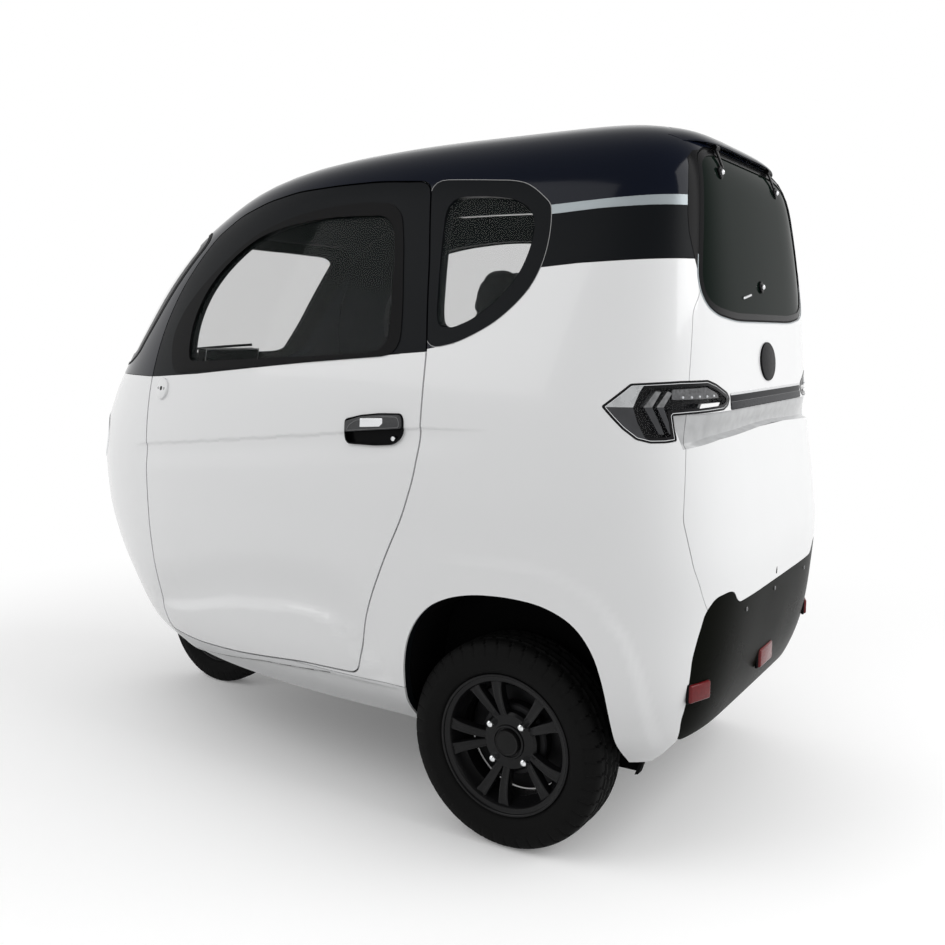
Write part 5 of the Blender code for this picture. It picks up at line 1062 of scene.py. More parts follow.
def make_doors(shell, glass, rubber):
    door = keep(side_prism(OUTLINE["door"], 0.0003))
    window = cut(side_prism(widened(OUTLINE["window"], 0)))
    lower = combine(shell, door + window + cut(side_prism(waist_line(-HAIRLINE / 2)),
                                               side_prism(filleted(widened(HANDLE, -0.002), 0.008))))
    both_sides("door_left_skin", lower, "door_left", "white", ["door_left_shell"])
    frame_mesh = combine(shell, door + window + keep(side_prism(waist_line(HAIRLINE / 2))))
    both_sides("door_left_frame", frame_mesh, "door_left", "matte")
    seal = combine(rubber, keep(side_prism(OUTLINE["seal"], 0.0003)) + cut(
        side_prism(widened(OUTLINE["window"], -0.004))))
    both_sides("door_left_seal", seal, "door_left", "rubber")
    pane = combine(glass, keep(side_prism(widened(OUTLINE["window"], -0.0005), 0.0003)))
    both_sides("door_left_pane", pane, "door_left", "glass", ["door_left_glass"])


def make_glass(glass):
    quarter = combine(glass, keep(side_prism(widened(OUTLINE["quarter"], -0.0005), 0.0003)))
    both_sides("quarter_pane_left", quarter, "body", "glass", ["quarter_glass_left"])
    shield = combine(glass, keep(front_prism(widened(OUTLINE["windshield"], -0.0005))))
    piece("windshield_pane", shield, "body", "glass", ["windshield"])
    rear = combine(glass, keep(rear_prism(OUTLINE["rear_glass"])))
    piece("rear_pane", rear, "rear_hatch", "dark_glass", ["rear_glass"])


def dress_solids():
    """Give every solid that stays a finish with real detail."""
    rows = frame["record"]["subparts"]
    for name, obj in frame["nodes"].items():
        word = "under" if name == "floor_pan" else SLOT_MATERIAL[slot_of(rows, name)]
        for socket in obj.material_slots:
            socket.material = MATERIAL[word]


def slot_of(rows, node):
    return next(row["material_slot"] for row in rows if row["node"] == node)


# Building small pieces
class Maker:
    """Gathers rings, bars and blocks in one mesh."""

    def __init__(self):
        self.bm = bmesh.new()

    def mesh(self):
        bmesh.ops.recalc_face_normals(self.bm, faces=self.bm.faces)
        mesh = bpy.data.meshes.new("made")
        self.bm.to_mesh(mesh)
        self.bm.free()
        return mesh

    def loft(self, rings, run_closed=False):
        loops = [[self.bm.verts.new(point) for point in ring] for ring in rings]
        pairs = list(zip(loops, loops[1:])) + ([(loops[-1], loops[0])] if run_closed else [])
        for low, high in pairs:
            for i in range(len(low)):
                j = (i + 1) % len(low)
                self.bm.faces.new((low[i], low[j], high[j], high[i]))
        if not run_closed:
            self.bm.faces.new(loops[0])
            self.bm.faces.new(loops[-1])
        return self

    def lathe(self, profile, centre, axis, sides=96):
        """A closed profile of (radius, place along the axis) turned about the axis."""
        turn = Vector(axis).to_track_quat("Z", "Y").to_matrix()
        rings = []
        for i in range(sides):
            angle = 2 * math.pi * i / sides
            out = Vector((math.cos(angle), math.sin(angle), 0))
            rings.append([Vector(centre) + turn @ (out * r + Vector((0, 0, a))) for r, a in profile])
        return self.loft(rings, run_closed=True)

    def disc(self, profile, centre, axis, sides=48):
        """A turned solid whose profile starts and ends near the axis, capped by flat ends."""
        turn = Vector(axis).to_track_quat("Z", "Y").to_matrix()
        angles = [2 * math.pi * i / sides for i in range(sides)]
        return self.loft([
            [Vector(centre) + turn @ Vector((r * math.cos(a), r * math.sin(a), along)) for a in angles]
            for r, along in profile
        ])

    def bar(self, start, end, radius, sides=24, edge=0.0):
        start, end = Vector(start), Vector(end)
        length = (end - start).length
        profile = [(radius, 0), (radius, length)]
        if edge:
            profile = [(radius - edge, 0), (radius, edge), (radius, length - edge), (radius - edge, length)]
        return self.disc(profile, start, end - start, sides)

    def tube(self, points, radius, sides=16):
        """A round tube through points, its rings turned smoothly along the run."""
        points = [Vector(p) for p in points]
        up = None
        rings = []
        for i, point in enumerate(points):
            along = (points[min(i + 1, len(points) - 1)] - points[max(i - 1, 0)]).normalized()
            if up is None:
                up = along.orthogonal().normalized()
            up = (up - along * up.dot(along)).normalized()
            side = along.cross(up)
            angles = [2 * math.pi * k / sides for k in range(sides)]
            rings.append([point + (up * math.cos(a) + side * math.sin(a)) * radius for a in angles])
        return self.loft(rings)

    def block(self, size, place, edge, segments=3, turn=None):
        """A box with rounded edges."""
        matrix = Matrix.Translation(place) @ (turn or Matrix.Identity(4))
        made = bmesh.ops.create_cube(self.bm, size=1, matrix=matrix @ Matrix.Diagonal((*size, 1)))
        edges = list({e for v in made["verts"] for e in v.link_edges})
        bmesh.ops.bevel(self.bm, geom=edges, offset=edge, segments=segments, profile=0.5, affect="EDGES")
        return self


def curve_through(points, steps=8):
    """A smooth run of points through the given ones."""
    points = [Vector(p) for p in points]
    run = []
    for i in range(len(points) - 1):
        p0, p1 = points[max(i - 1, 0)], points[i]
        p2, p3 = points[i + 1], points[min(i + 2, len(points) - 1)]
        for step in range(steps):
            t = step / steps
            run.append(0.5 * ((2 * p1) + (p2 - p0) * t + (2 * p0 - 5 * p1 + 4 * p2 - p3) * t**2
                              + (3 * p1 - p0 - 3 * p2 + p3) * t**3))
    return run + [points[-1]]


def skin_x(y, z):
    width, nose, tail, power = section_at(z / BODY_HEIGHT)
    end, power = (nose, NOSE_ROUNDNESS) if y < WIDEST_Y else (tail, power)
    reach = (y - WIDEST_Y) / (end * BODY_REACH - WIDEST_Y)
    return width * BODY_HALF_WIDTH * max(1 - min(reach, 1) ** power, 0) ** (1 / power)


def skin_tail_y(x, z):
    width, nose, tail, power = section_at(z / BODY_HEIGHT)
    share = min(abs(x) / (width * BODY_HALF_WIDTH), 1)
    return WIDEST_Y + (tail * BODY_REACH - WIDEST_Y) * (1 - share**power) ** (1 / power)


def skin_nose_y(x, z):
    width, nose, tail, power = section_at(z / BODY_HEIGHT)
    share = min(abs(x) / (width * BODY_HALF_WIDTH), 1)
    return WIDEST_Y + (nose * BODY_REACH - WIDEST_Y) * (1 - share**NOSE_ROUNDNESS) ** (1 / NOSE_ROUNDNESS)


# Wheels
def tyre_mesh(centre, radius, width, rim_radius, rim_width):
    """A tyre with rounded shoulders, four tread grooves, sipes that turn over the shoulder and rings."""
    bead = rim_width / 2 - 0.008
    wall = radius - rim_radius
    shape = [
        (rim_radius + 0.002, bead), (rim_radius + RIM_LIP - 0.005, bead + 0.0005),
        (rim_radius + RIM_LIP + 0.001, bead + 0.004),
        (rim_radius + RIM_LIP + 0.008, bead + (width / 2 - bead) * 0.66),
        (rim_radius + wall * 0.46, width / 2 - 0.001), (rim_radius + wall * 0.60, width / 2),
        (rim_radius + wall * 0.76, width / 2 - 0.003), (rim_radius + wall * 0.88, width * 0.445),
        (radius - 0.0045, width * 0.395), (radius - 0.0015, width * 0.33), (radius, width * 0.20),
        (radius, 0.0),
    ]
    half = curve_through([(r, a, 0) for r, a in shape], 4)
    outer = [(p.x, p.y) for p in half]
    outer += [(r, -a) for r, a in reversed(outer[:-1])]
    rings = []
    for i in range(TREAD_STEPS):
        angle = 2 * math.pi * i / TREAD_STEPS
        ring = []
        for r, a in outer:
            out = r - tread_cut(i, r, a, radius, width)
            ring.append(Vector(centre) + Vector((a, out * math.cos(angle), out * math.sin(angle))))
        for r, a in ((rim_radius, -bead + 0.004), (rim_radius, bead - 0.004)):
            ring.append(Vector(centre) + Vector((a, r * math.cos(angle), r * math.sin(angle))))
        rings.append(ring)
    return Maker().loft(rings, run_closed=True).mesh()


def tread_cut(step, r, a, radius, width):
    """How deep the pattern is cut at a place of the tyre's surface."""
    across = abs(a) / (width / 2)
    if r < radius - 0.034:
        return 0.0
    for groove in (0.16, 0.46):
        if abs(across - groove) < 0.045:
            return TREAD_DEPTH
    shift = int(across * 7) if across > 0.5 else int(across * 4) + 2
    slot = (step + shift * (1 if a > 0 else -1)) % 9
    if slot == 0 and across > 0.5:
        return TREAD_DEPTH * 0.8
    if slot in (4, 5) and across < 0.42:
        return TREAD_DEPTH * 0.5
    return 0.0


def rim_mesh(centre, outward, rim_radius, rim_width, angles, bore=0.0):
    """A cast rim: lipped barrel, dished hub with paired spokes that widen towards the barrel."""
    axis = Vector((outward, 0, 0))
    half = rim_width / 2
    lip = rim_radius + RIM_LIP
    maker = Maker()
    maker.lathe([
        (lip - 0.0015, half), (lip, half - 0.0015), (lip, half - 0.0040), (lip - 0.004, half - 0.0062),
        (rim_radius + 0.001, half - 0.0085), (rim_radius, half - 0.020),
        (rim_radius - 0.014, half - 0.040), (rim_radius - 0.014, -half + 0.030),
        (rim_radius, -half + 0.014), (rim_radius + 0.001, -half + 0.008),
        (lip - 0.004, -half + 0.0062), (lip, -half + 0.0040), (lip, -half + 0.0015),
        (lip - 0.0015, -half), (rim_radius + 0.002, -half + 0.0018), (rim_radius - 0.005, -half + 0.010),
        (rim_radius - 0.020, -half + 0.032), (rim_radius - 0.020, half - 0.042),
        (rim_radius - 0.0065, half - 0.022), (rim_radius - 0.0045, half - 0.0105),
        (rim_radius - 0.0015, half - 0.0070), (rim_radius + 0.006, half - 0.0060),
        (rim_radius + 0.0085, half - 0.0045), (rim_radius + 0.0095, half - 0.0012),
        (rim_radius + 0.0110, half),
    ], centre, axis, 120)
    hub = rim_radius * 0.47
    face = half - HUB_FACE
    maker.lathe([
        (bore + 0.0005, face - 0.030), (hub * 0.96, face - 0.030), (hub, face - 0.022),
        (hub * 0.98, face - 0.006), (hub * 0.90, face - 0.001), (hub * 0.80, face),
        (hub * 0.58, face + 0.001), (hub * 0.555, face + 0.0045), (hub * 0.50, face + 0.0050),
        (hub * 0.485, face + 0.0020), (bore + 0.0005, face + 0.0020),
    ], centre, axis, 72)
    for angle in angles:
        for side in (-1, 1):
            spoke(maker, centre, axis, angle, side, hub * 0.80, rim_radius - 0.0035, face, half - 0.010)
    return maker.mesh()


def spoke(maker, centre, axis, angle, side, inner, outer, face, lip):
    """One spoke of a pair: an arched bar that spreads from its twin towards the barrel."""
    rings = []
    steps = 12
    for step in range(steps + 1):
        t = step / steps
        radius = inner + (outer - inner) * t
        spread = math.radians(9.0 + 3.6 * t**1.4) * side
        radial = Vector((0, math.cos(angle + spread), math.sin(angle + spread)))
        across = Vector((0, -math.sin(angle + spread), math.cos(angle + spread)))
        wide = outer * (0.066 + 0.030 * t + 0.014 * max(t - 0.8, 0) * 5)
        top = face - 0.002 + (lip - face) * (1 - (1 - t) ** 1.7)
        deep = 0.024 - 0.006 * t
        base = Vector(centre) + radial * radius
        section = [(-1.0, -deep), *SPOKE_EDGE, (1.0, -deep)]
        rings.append([base + across * (wide * u) + axis * (top + v) for u, v in section])
    maker.loft(rings)


def spoke_angles(end):
    return [math.radians(SPOKE_STARTS[end] + 360 / SPOKE_PAIRS * k) for k in range(SPOKE_PAIRS)]


def make_wheel(side, word):
    """A tyre, a rim and its bright nuts and plain cap, in place of the plain wheel."""
    prefix, body = f"rear_{word}", f"rear_wheel_{word}"
    (x, y, z), radius, width, rim_radius, rim_width = REAR_WHEEL
    centre, axis = Vector((side * x, y, z)), Vector((side, 0, 0))
    tyre = tyre_mesh(centre, radius - TYRE_ROOM, width, rim_radius, rim_width)
    piece(f"{prefix}_tread", tyre, body, "tyre", [f"{prefix}_tyre"], skin=False)
    angles = spoke_angles("rear")
    if side < 0:
        angles = [math.pi - a for a in angles]
    rim = rim_mesh(centre, side, rim_radius, rim_width, angles)
    piece(f"{prefix}_cast_rim", rim, body, "alloy", [f"{prefix}_rim"], skin=False)
    face = centre + axis * (rim_width / 2 - HUB_FACE)
    nuts = Maker()
    for k in range(NUT_COUNT):
        angle = math.radians(NUT_START + 360 / NUT_COUNT * k)
        place = face + Vector((0, math.cos(angle), math.sin(angle))) * rim_radius * NUT_SHARE
        nuts.bar(place - axis * NUT_DEPTH, place + axis * NUT_HEIGHT, NUT_RADIUS, 6)
        nuts.disc(NUT_CROWN, place, axis, 20)
    piece(f"{prefix}_nuts", nuts.mesh(), body, "chrome", skin=False)
    cap = Maker().disc(WHEEL_CAP, face, axis, 48)
    piece(f"{prefix}_cap", cap.mesh(), body, "cap", skin=False)
    brake = Maker().disc(BRAKE_DRUM, face + axis * DRUM_SHIFT, axis, 60).disc(DUST_SHIELD, face, axis, 72)
    piece(f"{prefix}_brake", brake.mesh(), body, "steel", skin=False)


def make_front_wheel():
    """The narrow front wheel between the fork's legs."""
    place, radius, width, rim_radius, rim_width = FRONT_WHEEL
    centre = Vector(place)
    tyre = tyre_mesh(centre, radius, width, rim_radius, rim_width)
    piece("front_tread", tyre, "front_wheel", "tyre", ["front_tyre"], skin=False)
    rim = rim_mesh(centre, 1, rim_radius, rim_width, spoke_angles("front"), bore=FRONT_BORE)
    hub = Maker().lathe(FRONT_HUB, centre, OUT, 48).mesh()
    piece("front_cast_rim", gathered("front_rim", [rim, hub]), "front_wheel", "alloy",
          ["front_rim"], skin=False)
    rotor = Maker().lathe(FRONT_ROTOR, centre, OUT, 72).mesh()
    piece("front_brake_disc", rotor, "front_wheel", "chrome", skin=False)


def make_wheels():
    make_wheel(1, "left")
    make_wheel(-1, "right")
    make_front_wheel()


# Lamps, handles and small fittings
def pad(maker, outline, view, origin, low, high, edge):
    """A flat-topped part with a rounded rim, standing along the normal of its view."""
    across, up = view
    normal = across.cross(up)
    levels = [(0.0, low)]
    for step in range(5):
        angle = math.pi / 2 * step / 4
        levels.append((edge * (1 - math.cos(angle)), high - edge + edge * math.sin(angle)))
    rings = []
    for inset, height in levels:
        ring = widened(outline, -inset) if inset else outline
        rings.append([Vector(origin) + across * u + up * v + normal * height for u, v in ring])
    maker.loft(rings)
    return maker


def ellipse(half_width, half_height, sides=64):
    angles = [2 * math.pi * i / sides for i in range(sides)]
    return [(half_width * math.cos(angle), half_height * math.sin(angle)) for angle in angles]


def band(layer):
    """The skin between the two depths of a layer."""
    outer, inner = LAYERS[layer]
    return combine(body_mesh(outer), cut(body_mesh(inner, OVERRUN)))


def gathered(name, meshes):
    """One mesh of several."""
    bm = bmesh.new()
    for mesh in meshes:
        bm.from_mesh(mesh)
    joined = bpy.data.meshes.new(name)
    bm.to_mesh(joined)
    bm.free()
    return joined


def lamp_part(word, layer, finish, steps, nodes=()):
    both_sides(f"tail_{word}_left", combine(layer, steps), "body", finish, nodes)


def make_tail_lamps():
    """Rim, bright line, border and cover of the lamp, and what shows behind the cover; the tip and blades
    carry a painted highlight above the fold and painted shade below it.
    """
    outline = OUTLINE["tail_lamp"]
    whole = lamp_prism(outline)
    line, inside = [lamp_prism(widened(outline, -inset)) for inset in LAMP_LINE_INSETS]
    edge = lamp_prism(filleted(widened(TAIL_LAMP, -LAMP_BORDER), LAMP_FILLET, 3))
    tip = lamp_prism([(LAMP_NEAR, LAMP_TOP), *LAMP_TIP_EDGE, (LAMP_NEAR, LAMP_BASE)])
    upper = lamp_prism([(LAMP_NEAR, LAMP_FOLD), (LAMP_FAR, LAMP_FOLD), (LAMP_FAR, LAMP_TOP),
                        (LAMP_NEAR, LAMP_TOP)])
    window = lamp_prism(filleted(LAMP_WINDOW, LAMP_FILLET))
    blades = [lamp_prism(filleted(chevron, LAMP_FILLET, 2)) for chevron in CHEVRONS]
    plate = lamp_prism(filleted(LAMP_STRIP, LAMP_STRIP_FILLET))
    lamp_part("rim", band("lamp_rim"), "lamp_edge", keep(whole) + cut(line), ["tail_lamp_left"])
    lamp_part("line", band("lamp_line"), "chrome", keep(line) + cut(inside))
    lamp_part("border", band("lamp_border"), "lamp_edge", keep(inside) + cut(edge, tip))
    lamp_part("lens", band("lamp_lens"), "smoke", keep(edge) + cut(tip, window, plate, *blades))
    facets = band("lamp_tip")
    # Upper faces with a painted highlight, lower faces with painted shade
    lamp_part("tip", facets, "lamp_silver_painted_highlight", keep(inside, tip, upper))
    lamp_part("tip_low", facets, "lamp_grey_and_painted_shade", keep(inside, tip) + cut(upper))
    lamp_part("back", band("lamp_back"), "lamp_edge", keep(whole))
    bars = band("lamp_blades")
    high = gathered("blades", [combine(bars, keep(blade, upper)) for blade in blades])
    both_sides("tail_blades_left", high, "body", "lamp_blade_painted_highlight")
    low = gathered("blades_low", [combine(bars, keep(blade) + cut(upper)) for blade in blades])
    both_sides("tail_blades_low_left", low, "body", "lamp_grey_and_painted_shade")
    lamp_part("strip", band("lamp_strip"), "lamp_mottled", keep(plate))
    glow = lamp_prism(filleted(LAMP_WINDOW, LAMP_WINDOW_FILLET))
    lamp_part("window", band("lamp_window"), "lamp_white", keep(glow))
    leds = Maker()
    for k in range(LED_COUNT):
        place = lamp_place(LED_START - LED_STEP * k, LED_HEIGHT - LED_SHIFT * (k % 2), LED_DEPTH)
        leds.disc(LED_PROFILE, place, LAMP_OUTWARD, 16)
    both_sides("tail_leds_left", leds.mesh(), "body", "clear", skin=False)


def lamp_place(u, z, depth):
    """The point at a depth under the skin that the lamp's own view shows at (u, z)."""
    across, _ = LAMP_VIEW
    low, high = 0.0, BODY_REACH * 1.3
    for _ in range(40):
        middle = (low + high) / 2
        place = across * u + LAMP_OUTWARD * middle
        if is_inside(place.x, place.y, z):
            low = middle
        else:
            high = middle
    place = across * u + LAMP_OUTWARD * (low - depth)
    return Vector((place.x, place.y, z))


def is_inside(x, y, z):
    if y < WIDEST_Y:
        return True
    width, nose, tail, power = section_at(z / BODY_HEIGHT)
    reach = (y - WIDEST_Y) / (tail * BODY_REACH - WIDEST_Y)
    return (abs(x) / (width * BODY_HALF_WIDTH)) ** power + reach**power < 1


def make_light_bar():
    lamps = cut(*lamp_cutters(LAMP_GAP))
    lens = combine(band("bar_lens"), keep(rear_prism(light_bar_outline(0))) + lamps)
    piece("tail_bar_lens", lens, "body", "bar_lens", ["tail_light_bar"])
    for word, heights, finish in (("strip", BAR_STRIP, "chrome"), ("lower", BAR_LOWER, "bar_grey"),
                                  ("line", BAR_LINE, "lamp_grey_and_painted_shade")):
        part = combine(band(f"bar_{word}"), keep(rear_prism(bar_outline(*heights))) + lamps)
        piece(f"tail_bar_{word}", part, "body", finish)


def draped(mesh, limit=None):
    """A fitting built flat at the middle plane, moved out so that it follows the side's skin."""
    for vertex in mesh.vertices:
        x, y, z = vertex.co
        vertex.co.x = x + skin_x(y, z)
        if limit:
            vertex.co.x = min(vertex.co.x, limit)
    return mesh


def handle_pad(word, outline):
    fillet, margin, levels = HANDLE_PADS[word]
    outline = filleted(widened(outline, margin) if margin else outline, fillet)
    return pad(Maker(), outline, SIDE, Vector((0, 0, 0)), *levels).mesh()


def make_handles():
    body = "door_left"
    tray = combine(handle_pad("tray", HANDLE), cut(handle_pad("pocket", HANDLE)))
    both_sides("door_left_handle_tray", draped(tray), body, "gloss_black", ["door_left_handle"],
               skin=False)
    upper = handle_pad("pull", HANDLE_UPPER)
    both_sides("door_left_handle_pull", draped(upper, HANDLE_LIMIT), body, "handle", skin=False)
    inner = widened(filleted(HANDLE_LINE, HANDLE_PADS["line"][0]), -HANDLE_LINE_WIDTH)
    inner = pad(Maker(), inner, SIDE, Vector((0, 0, 0)), *HANDLE_LINE_PAD).mesh()
    ring = combine(handle_pad("line", HANDLE_LINE), cut(inner))
    both_sides("door_left_handle_line", draped(ring, HANDLE_LIMIT + LINE_STAND), body, "handle_line",
               skin=False)
    strip = handle_pad("strip", HANDLE_STRIP)
    both_sides("door_left_handle_strip", draped(strip, HANDLE_LIMIT + STRIP_STAND), body, "chrome",
               skin=False)
    key = Maker()
    place = Vector(KEY_PLACE)
    key.disc(KEY_PROFILE, place, OUT, 32)
    key.block(KEY_SLOT, place + Vector((KEY_SLOT_HEIGHT, 0, 0)), KEY_SLOT_EDGE, 1)
    both_sides("door_left_key", draped(key.mesh()), body, "chrome", skin=False)


def make_mirror_bases():
    origin = Vector((skin_x(MIRROR_Y, MIRROR_Z), MIRROR_Y, MIRROR_Z))
    normal = Vector(surface_normals(np.array([origin]))[0])
    along = Vector(UP).cross(normal).normalized()
    plate = Maker().disc(MIRROR_PLATE, origin, normal, 72)
    both_sides("door_left_mirror_plate", plate.mesh(), "door_left", "white", skin=False)
    holes = Maker().disc(MIRROR_HOLE, origin, normal, 32)
    for side in (-1, 1):
        place = origin + normal * MIRROR_SCREW_HEIGHT + along * side * MIRROR_SCREW_REACH
        holes.disc(MIRROR_SCREW, place, normal, 24)
    both_sides("door_left_mirror_screws", holes.mesh(), "door_left", "gloss_black", skin=False)


def on_tail(x, z, depth=0.0):
    """The point at a depth under the skin behind (x, z)."""
    return Vector((x, skin_tail_y(x, z) - depth, z))


def make_bumper_parts():
    red, rims, screws = Maker(), Maker(), Maker()
    for x, z, w, h in REFLECTORS:
        rise = skin_tail_y(abs(x) - SLANT_REACH, z) - skin_tail_y(abs(x) + SLANT_REACH, z)
        slant = math.atan2(rise, SLANT_REACH * 2)
        turn = Matrix.Rotation(-slant * math.copysign(1, x), 4, "Z")
        centre = on_tail(x, z, SUNK)
        wider, deep, higher = REFLECTOR_RIM
        rims.block((w + wider, deep, h + higher), centre, REFLECTOR_EDGES[0], 3, turn)
        place = centre + turn @ Vector((0, REFLECTOR_STAND, 0))
        red.block((w, REFLECTOR_DEPTH, h), place, REFLECTOR_EDGES[1], 4, turn)
    piece("bumper_reflectors", red.mesh(), "body", "red", skin=False)
    piece("bumper_reflector_rims", rims.mesh(), "body", "gloss_black", skin=False)
    for x, z in BUMPER_SCREWS:
        screws.disc(SCREW_PROFILE, on_tail(x, z, SUNK), (0, 1, 0), 24)
    piece("bumper_screws", screws.mesh(), "body", "lamp_mottled", skin=False)
    place = Vector((VENT_X, skin_tail_y(VENT_X, VENT_SKIN_Z) - VENT_SUNK, VENT_Z))
    hole = pad(Maker(), ellipse(*VENT_HALVES, 24), REAR_OUT, place, *VENT_PAD)
    piece("tail_vent", hole.mesh(), "body", "gloss_black", skin=False)


def make_badge():
    """A bare disc where a badge would sit."""
    z = DISC_HEIGHT
    rise = skin_tail_y(0, z + SLOPE_REACH) - skin_tail_y(0, z - SLOPE_REACH)
    slope = math.atan2(rise, SLOPE_REACH * 2)
    view = Vector((-1, 0, 0)), Vector((0, math.sin(slope), math.cos(slope)))
    disc = pad(Maker(), ellipse(*DISC_HALVES), view, on_tail(0, z), *DISC_PAD)
    piece("tail_disc", disc.mesh(), "body", "badge", skin=False)


def make_hatch_borders():
    glass = OUTLINE["rear_glass"]
    border = ring_band("glass_border", glass, widened(glass, -HATCH_BORDER), rear_prism)
    piece("hatch_border", border, "rear_hatch", "gloss_black")
    room, gap = HATCH_SEAL
    seal = ring_band("hatch_seal", widened(glass, SEAM - room), widened(glass, gap), rear_prism)
    piece("hatch_seal", seal, "body", "rubber")
    for side, word in ((1, "left"), (-1, "right")):
        form = [(side * x, z) for x, z in REAR_FRAME]
        piece(f"rear_frame_{word}", ring_band("rear_frame", form, widened(glass, SEAM), rear_prism),
              "body", "gloss_black")
    # A painted highlight in the stripe's silver along the lower edge of the rear glass's opening
    half, low, high = HATCH_HIGHLIGHT_BOX
    lower = rear_prism([(-half, low), (half, low), (half, high), (-half, high)])
    wide, narrow = [rear_prism(widened(glass, SEAM + margin)) for margin in HATCH_HIGHLIGHT_MARGINS]
    line = combine(band("hatch_painted_highlight"), keep(wide, lower) + cut(narrow))
    piece("hatch_painted_highlight", line, "body", "stripe")


def make_hatch_parts():
    bolts, cups = Maker(), Maker()
    for x, z in HATCH_BOLTS:
        place = on_tail(x, z, BOLT_SUNK)
        cups.disc(CUP_PROFILE, place, BOLT_AXIS, 32)
        bolts.disc(BOLT_PROFILE, place, BOLT_AXIS, 32)
    piece("hatch_bolts", bolts.mesh(), "rear_hatch", "chrome", ["hatch_lock"], skin=False)
    piece("hatch_cups", cups.mesh(), "rear_hatch", "gloss_black", skin=False)
    start, end = on_tail(*STAY_START, STAY_DEPTHS[0]), on_tail(*STAY_END, STAY_DEPTHS[1])
    middle = start.lerp(end, STAY_SHARE)
    stay = Maker().bar(start, middle, STAY_RADII[0], 16).bar(middle, end, STAY_RADII[1], 16)
    stay.disc(STAY_KNOB, start, (0, 1, 0), 20)
    piece("hatch_stay", stay.mesh(), "rear_hatch", "chrome", skin=False)
    catch = Maker().block(CATCH_SIZE, on_tail(CATCH_X, CATCH_Z, CATCH_SUNK), CATCH_EDGE, 3,
                          Matrix.Rotation(CATCH_TILT, 4, "Y"))
    piece("hatch_catch", catch.mesh(), "rear_hatch", "chrome", skin=False)


def ring_band(layer, outer, inner, view_prism):
    """A ring of skin between two outlines."""
    return combine(band(layer), keep(view_prism(outer)) + cut(view_prism(inner)))


def make_head_lamps():
    for word, radii, finish, nodes in (("ring", HEAD_RING, "chrome", ()),
                                       ("bezel", HEAD_BEZEL, "gloss_black", ["head_lamp_left"])):
        outer, inner = [head_lamp_outline(1, radius) for radius in radii]
        both_sides(f"head_{word}_left", ring_band(f"head_{word}", outer, inner, front_prism), "body",
                   finish, nodes)
    cover = combine(band("head_cover"), keep(front_prism(head_lamp_outline(1, HEAD_COVER))))
    both_sides("head_cover_left", cover, "body", "clear_cover")
    x, z = HEAD_LAMP_X, HEAD_LAMP_HEIGHT
    place = Vector((x, skin_nose_y(x, z), z))
    normal = Vector(surface_normals(np.array([place]))[0])
    bowl = Maker().disc(HEAD_BOWL, place, normal, 64)
    both_sides("head_bowl_left", bowl.mesh(), "body", "chrome", skin=False)
    eye = Maker().disc(HEAD_EYE, place, normal, 48)
    both_sides("head_eye_left", eye.mesh(), "body", "clear", skin=False)


def on_nose(x, z, depth, lift=0.0):
    """The point at a depth behind the skin in front of (x, z), lifted a little."""
    return Vector((x, skin_nose_y(x, z) - depth, z + lift))


def make_windshield_parts():
    glass = OUTLINE["windshield"]
    border = ring_band("glass_border", glass, widened(glass, -SHIELD_BORDER), front_prism)
    piece("windshield_border", border, "body", "gloss_black")
    seal = ring_band("shield_seal", *[widened(glass, margin) for margin in SHIELD_SEAL], front_prism)
    piece("windshield_seal", seal, "body", "rubber")
    run = [on_nose(WIPER_X - WIPER_RUN * t, WIPER_Z + WIPER_RISE * t, WIPER_SUNK)
           for t in np.linspace(0, 1, 13)]
    wiper = Maker().tube(run, WIPER_RADIUS, 12)
    arm = [on_nose(*point) for point in WIPER_ARM]
    wiper.tube(curve_through(arm, 6), WIPER_ARM_RADIUS, 12)
    wiper.disc(WIPER_CAP, on_nose(*WIPER_ARM[0][:2], -WIPER_CAP_STAND), WIPER_CAP_AXIS, 28)
    piece("wiper", wiper.mesh(), "body", "rubber", skin=False)


def bar_point(side, shares):
    across, back, up = shares
    return Vector(BAR_MIDDLE) + Vector((side * BAR_REACH * across, BAR_REACH * back, BAR_REACH * up))


def make_controls():
    """Ribbed grips over the bar's ends and a display on the dashboard."""
    ribs = [(r, a + GRIP_STEP * k) for k in range(GRIP_RIBS) for r, a in GRIP_RIB]
    profile = [GRIP_ENDS[0], *ribs, *GRIP_ENDS[1:]]
    for side, word in ((1, "left"), (-1, "right")):
        end = bar_point(side, GRIP_END_SHARES)
        along = (end - bar_point(side, GRIP_SHARES)).normalized()
        grip = Maker().disc(profile, end - along * GRIP_LENGTH, along, 40)
        piece(f"grip_{word}", grip.mesh(), "steering", "rubber", skin=False)
    turn = Matrix.Rotation(DISPLAY_TILT, 4, "X")
    case = Maker().block(*DISPLAY_CASE, 4, turn).block(*DISPLAY_FOOT)
    piece("display_case", case.mesh(), "body", "gloss_black", skin=False)
    screen = Maker().block(*DISPLAY_SCREEN, 2, turn)
    piece("display_screen", screen.mesh(), "body", "screen", skin=False)
    lines = Maker()
    for across, up, size in DISPLAY_LINES:
        place = Vector(DISPLAY_LINE_PLACE) + turn @ Vector((across, 0, up))
        lines.block(size, place, DISPLAY_LINE_EDGE, 1, turn)
    piece("display_frame", lines.mesh(), "body", "sill", skin=False)


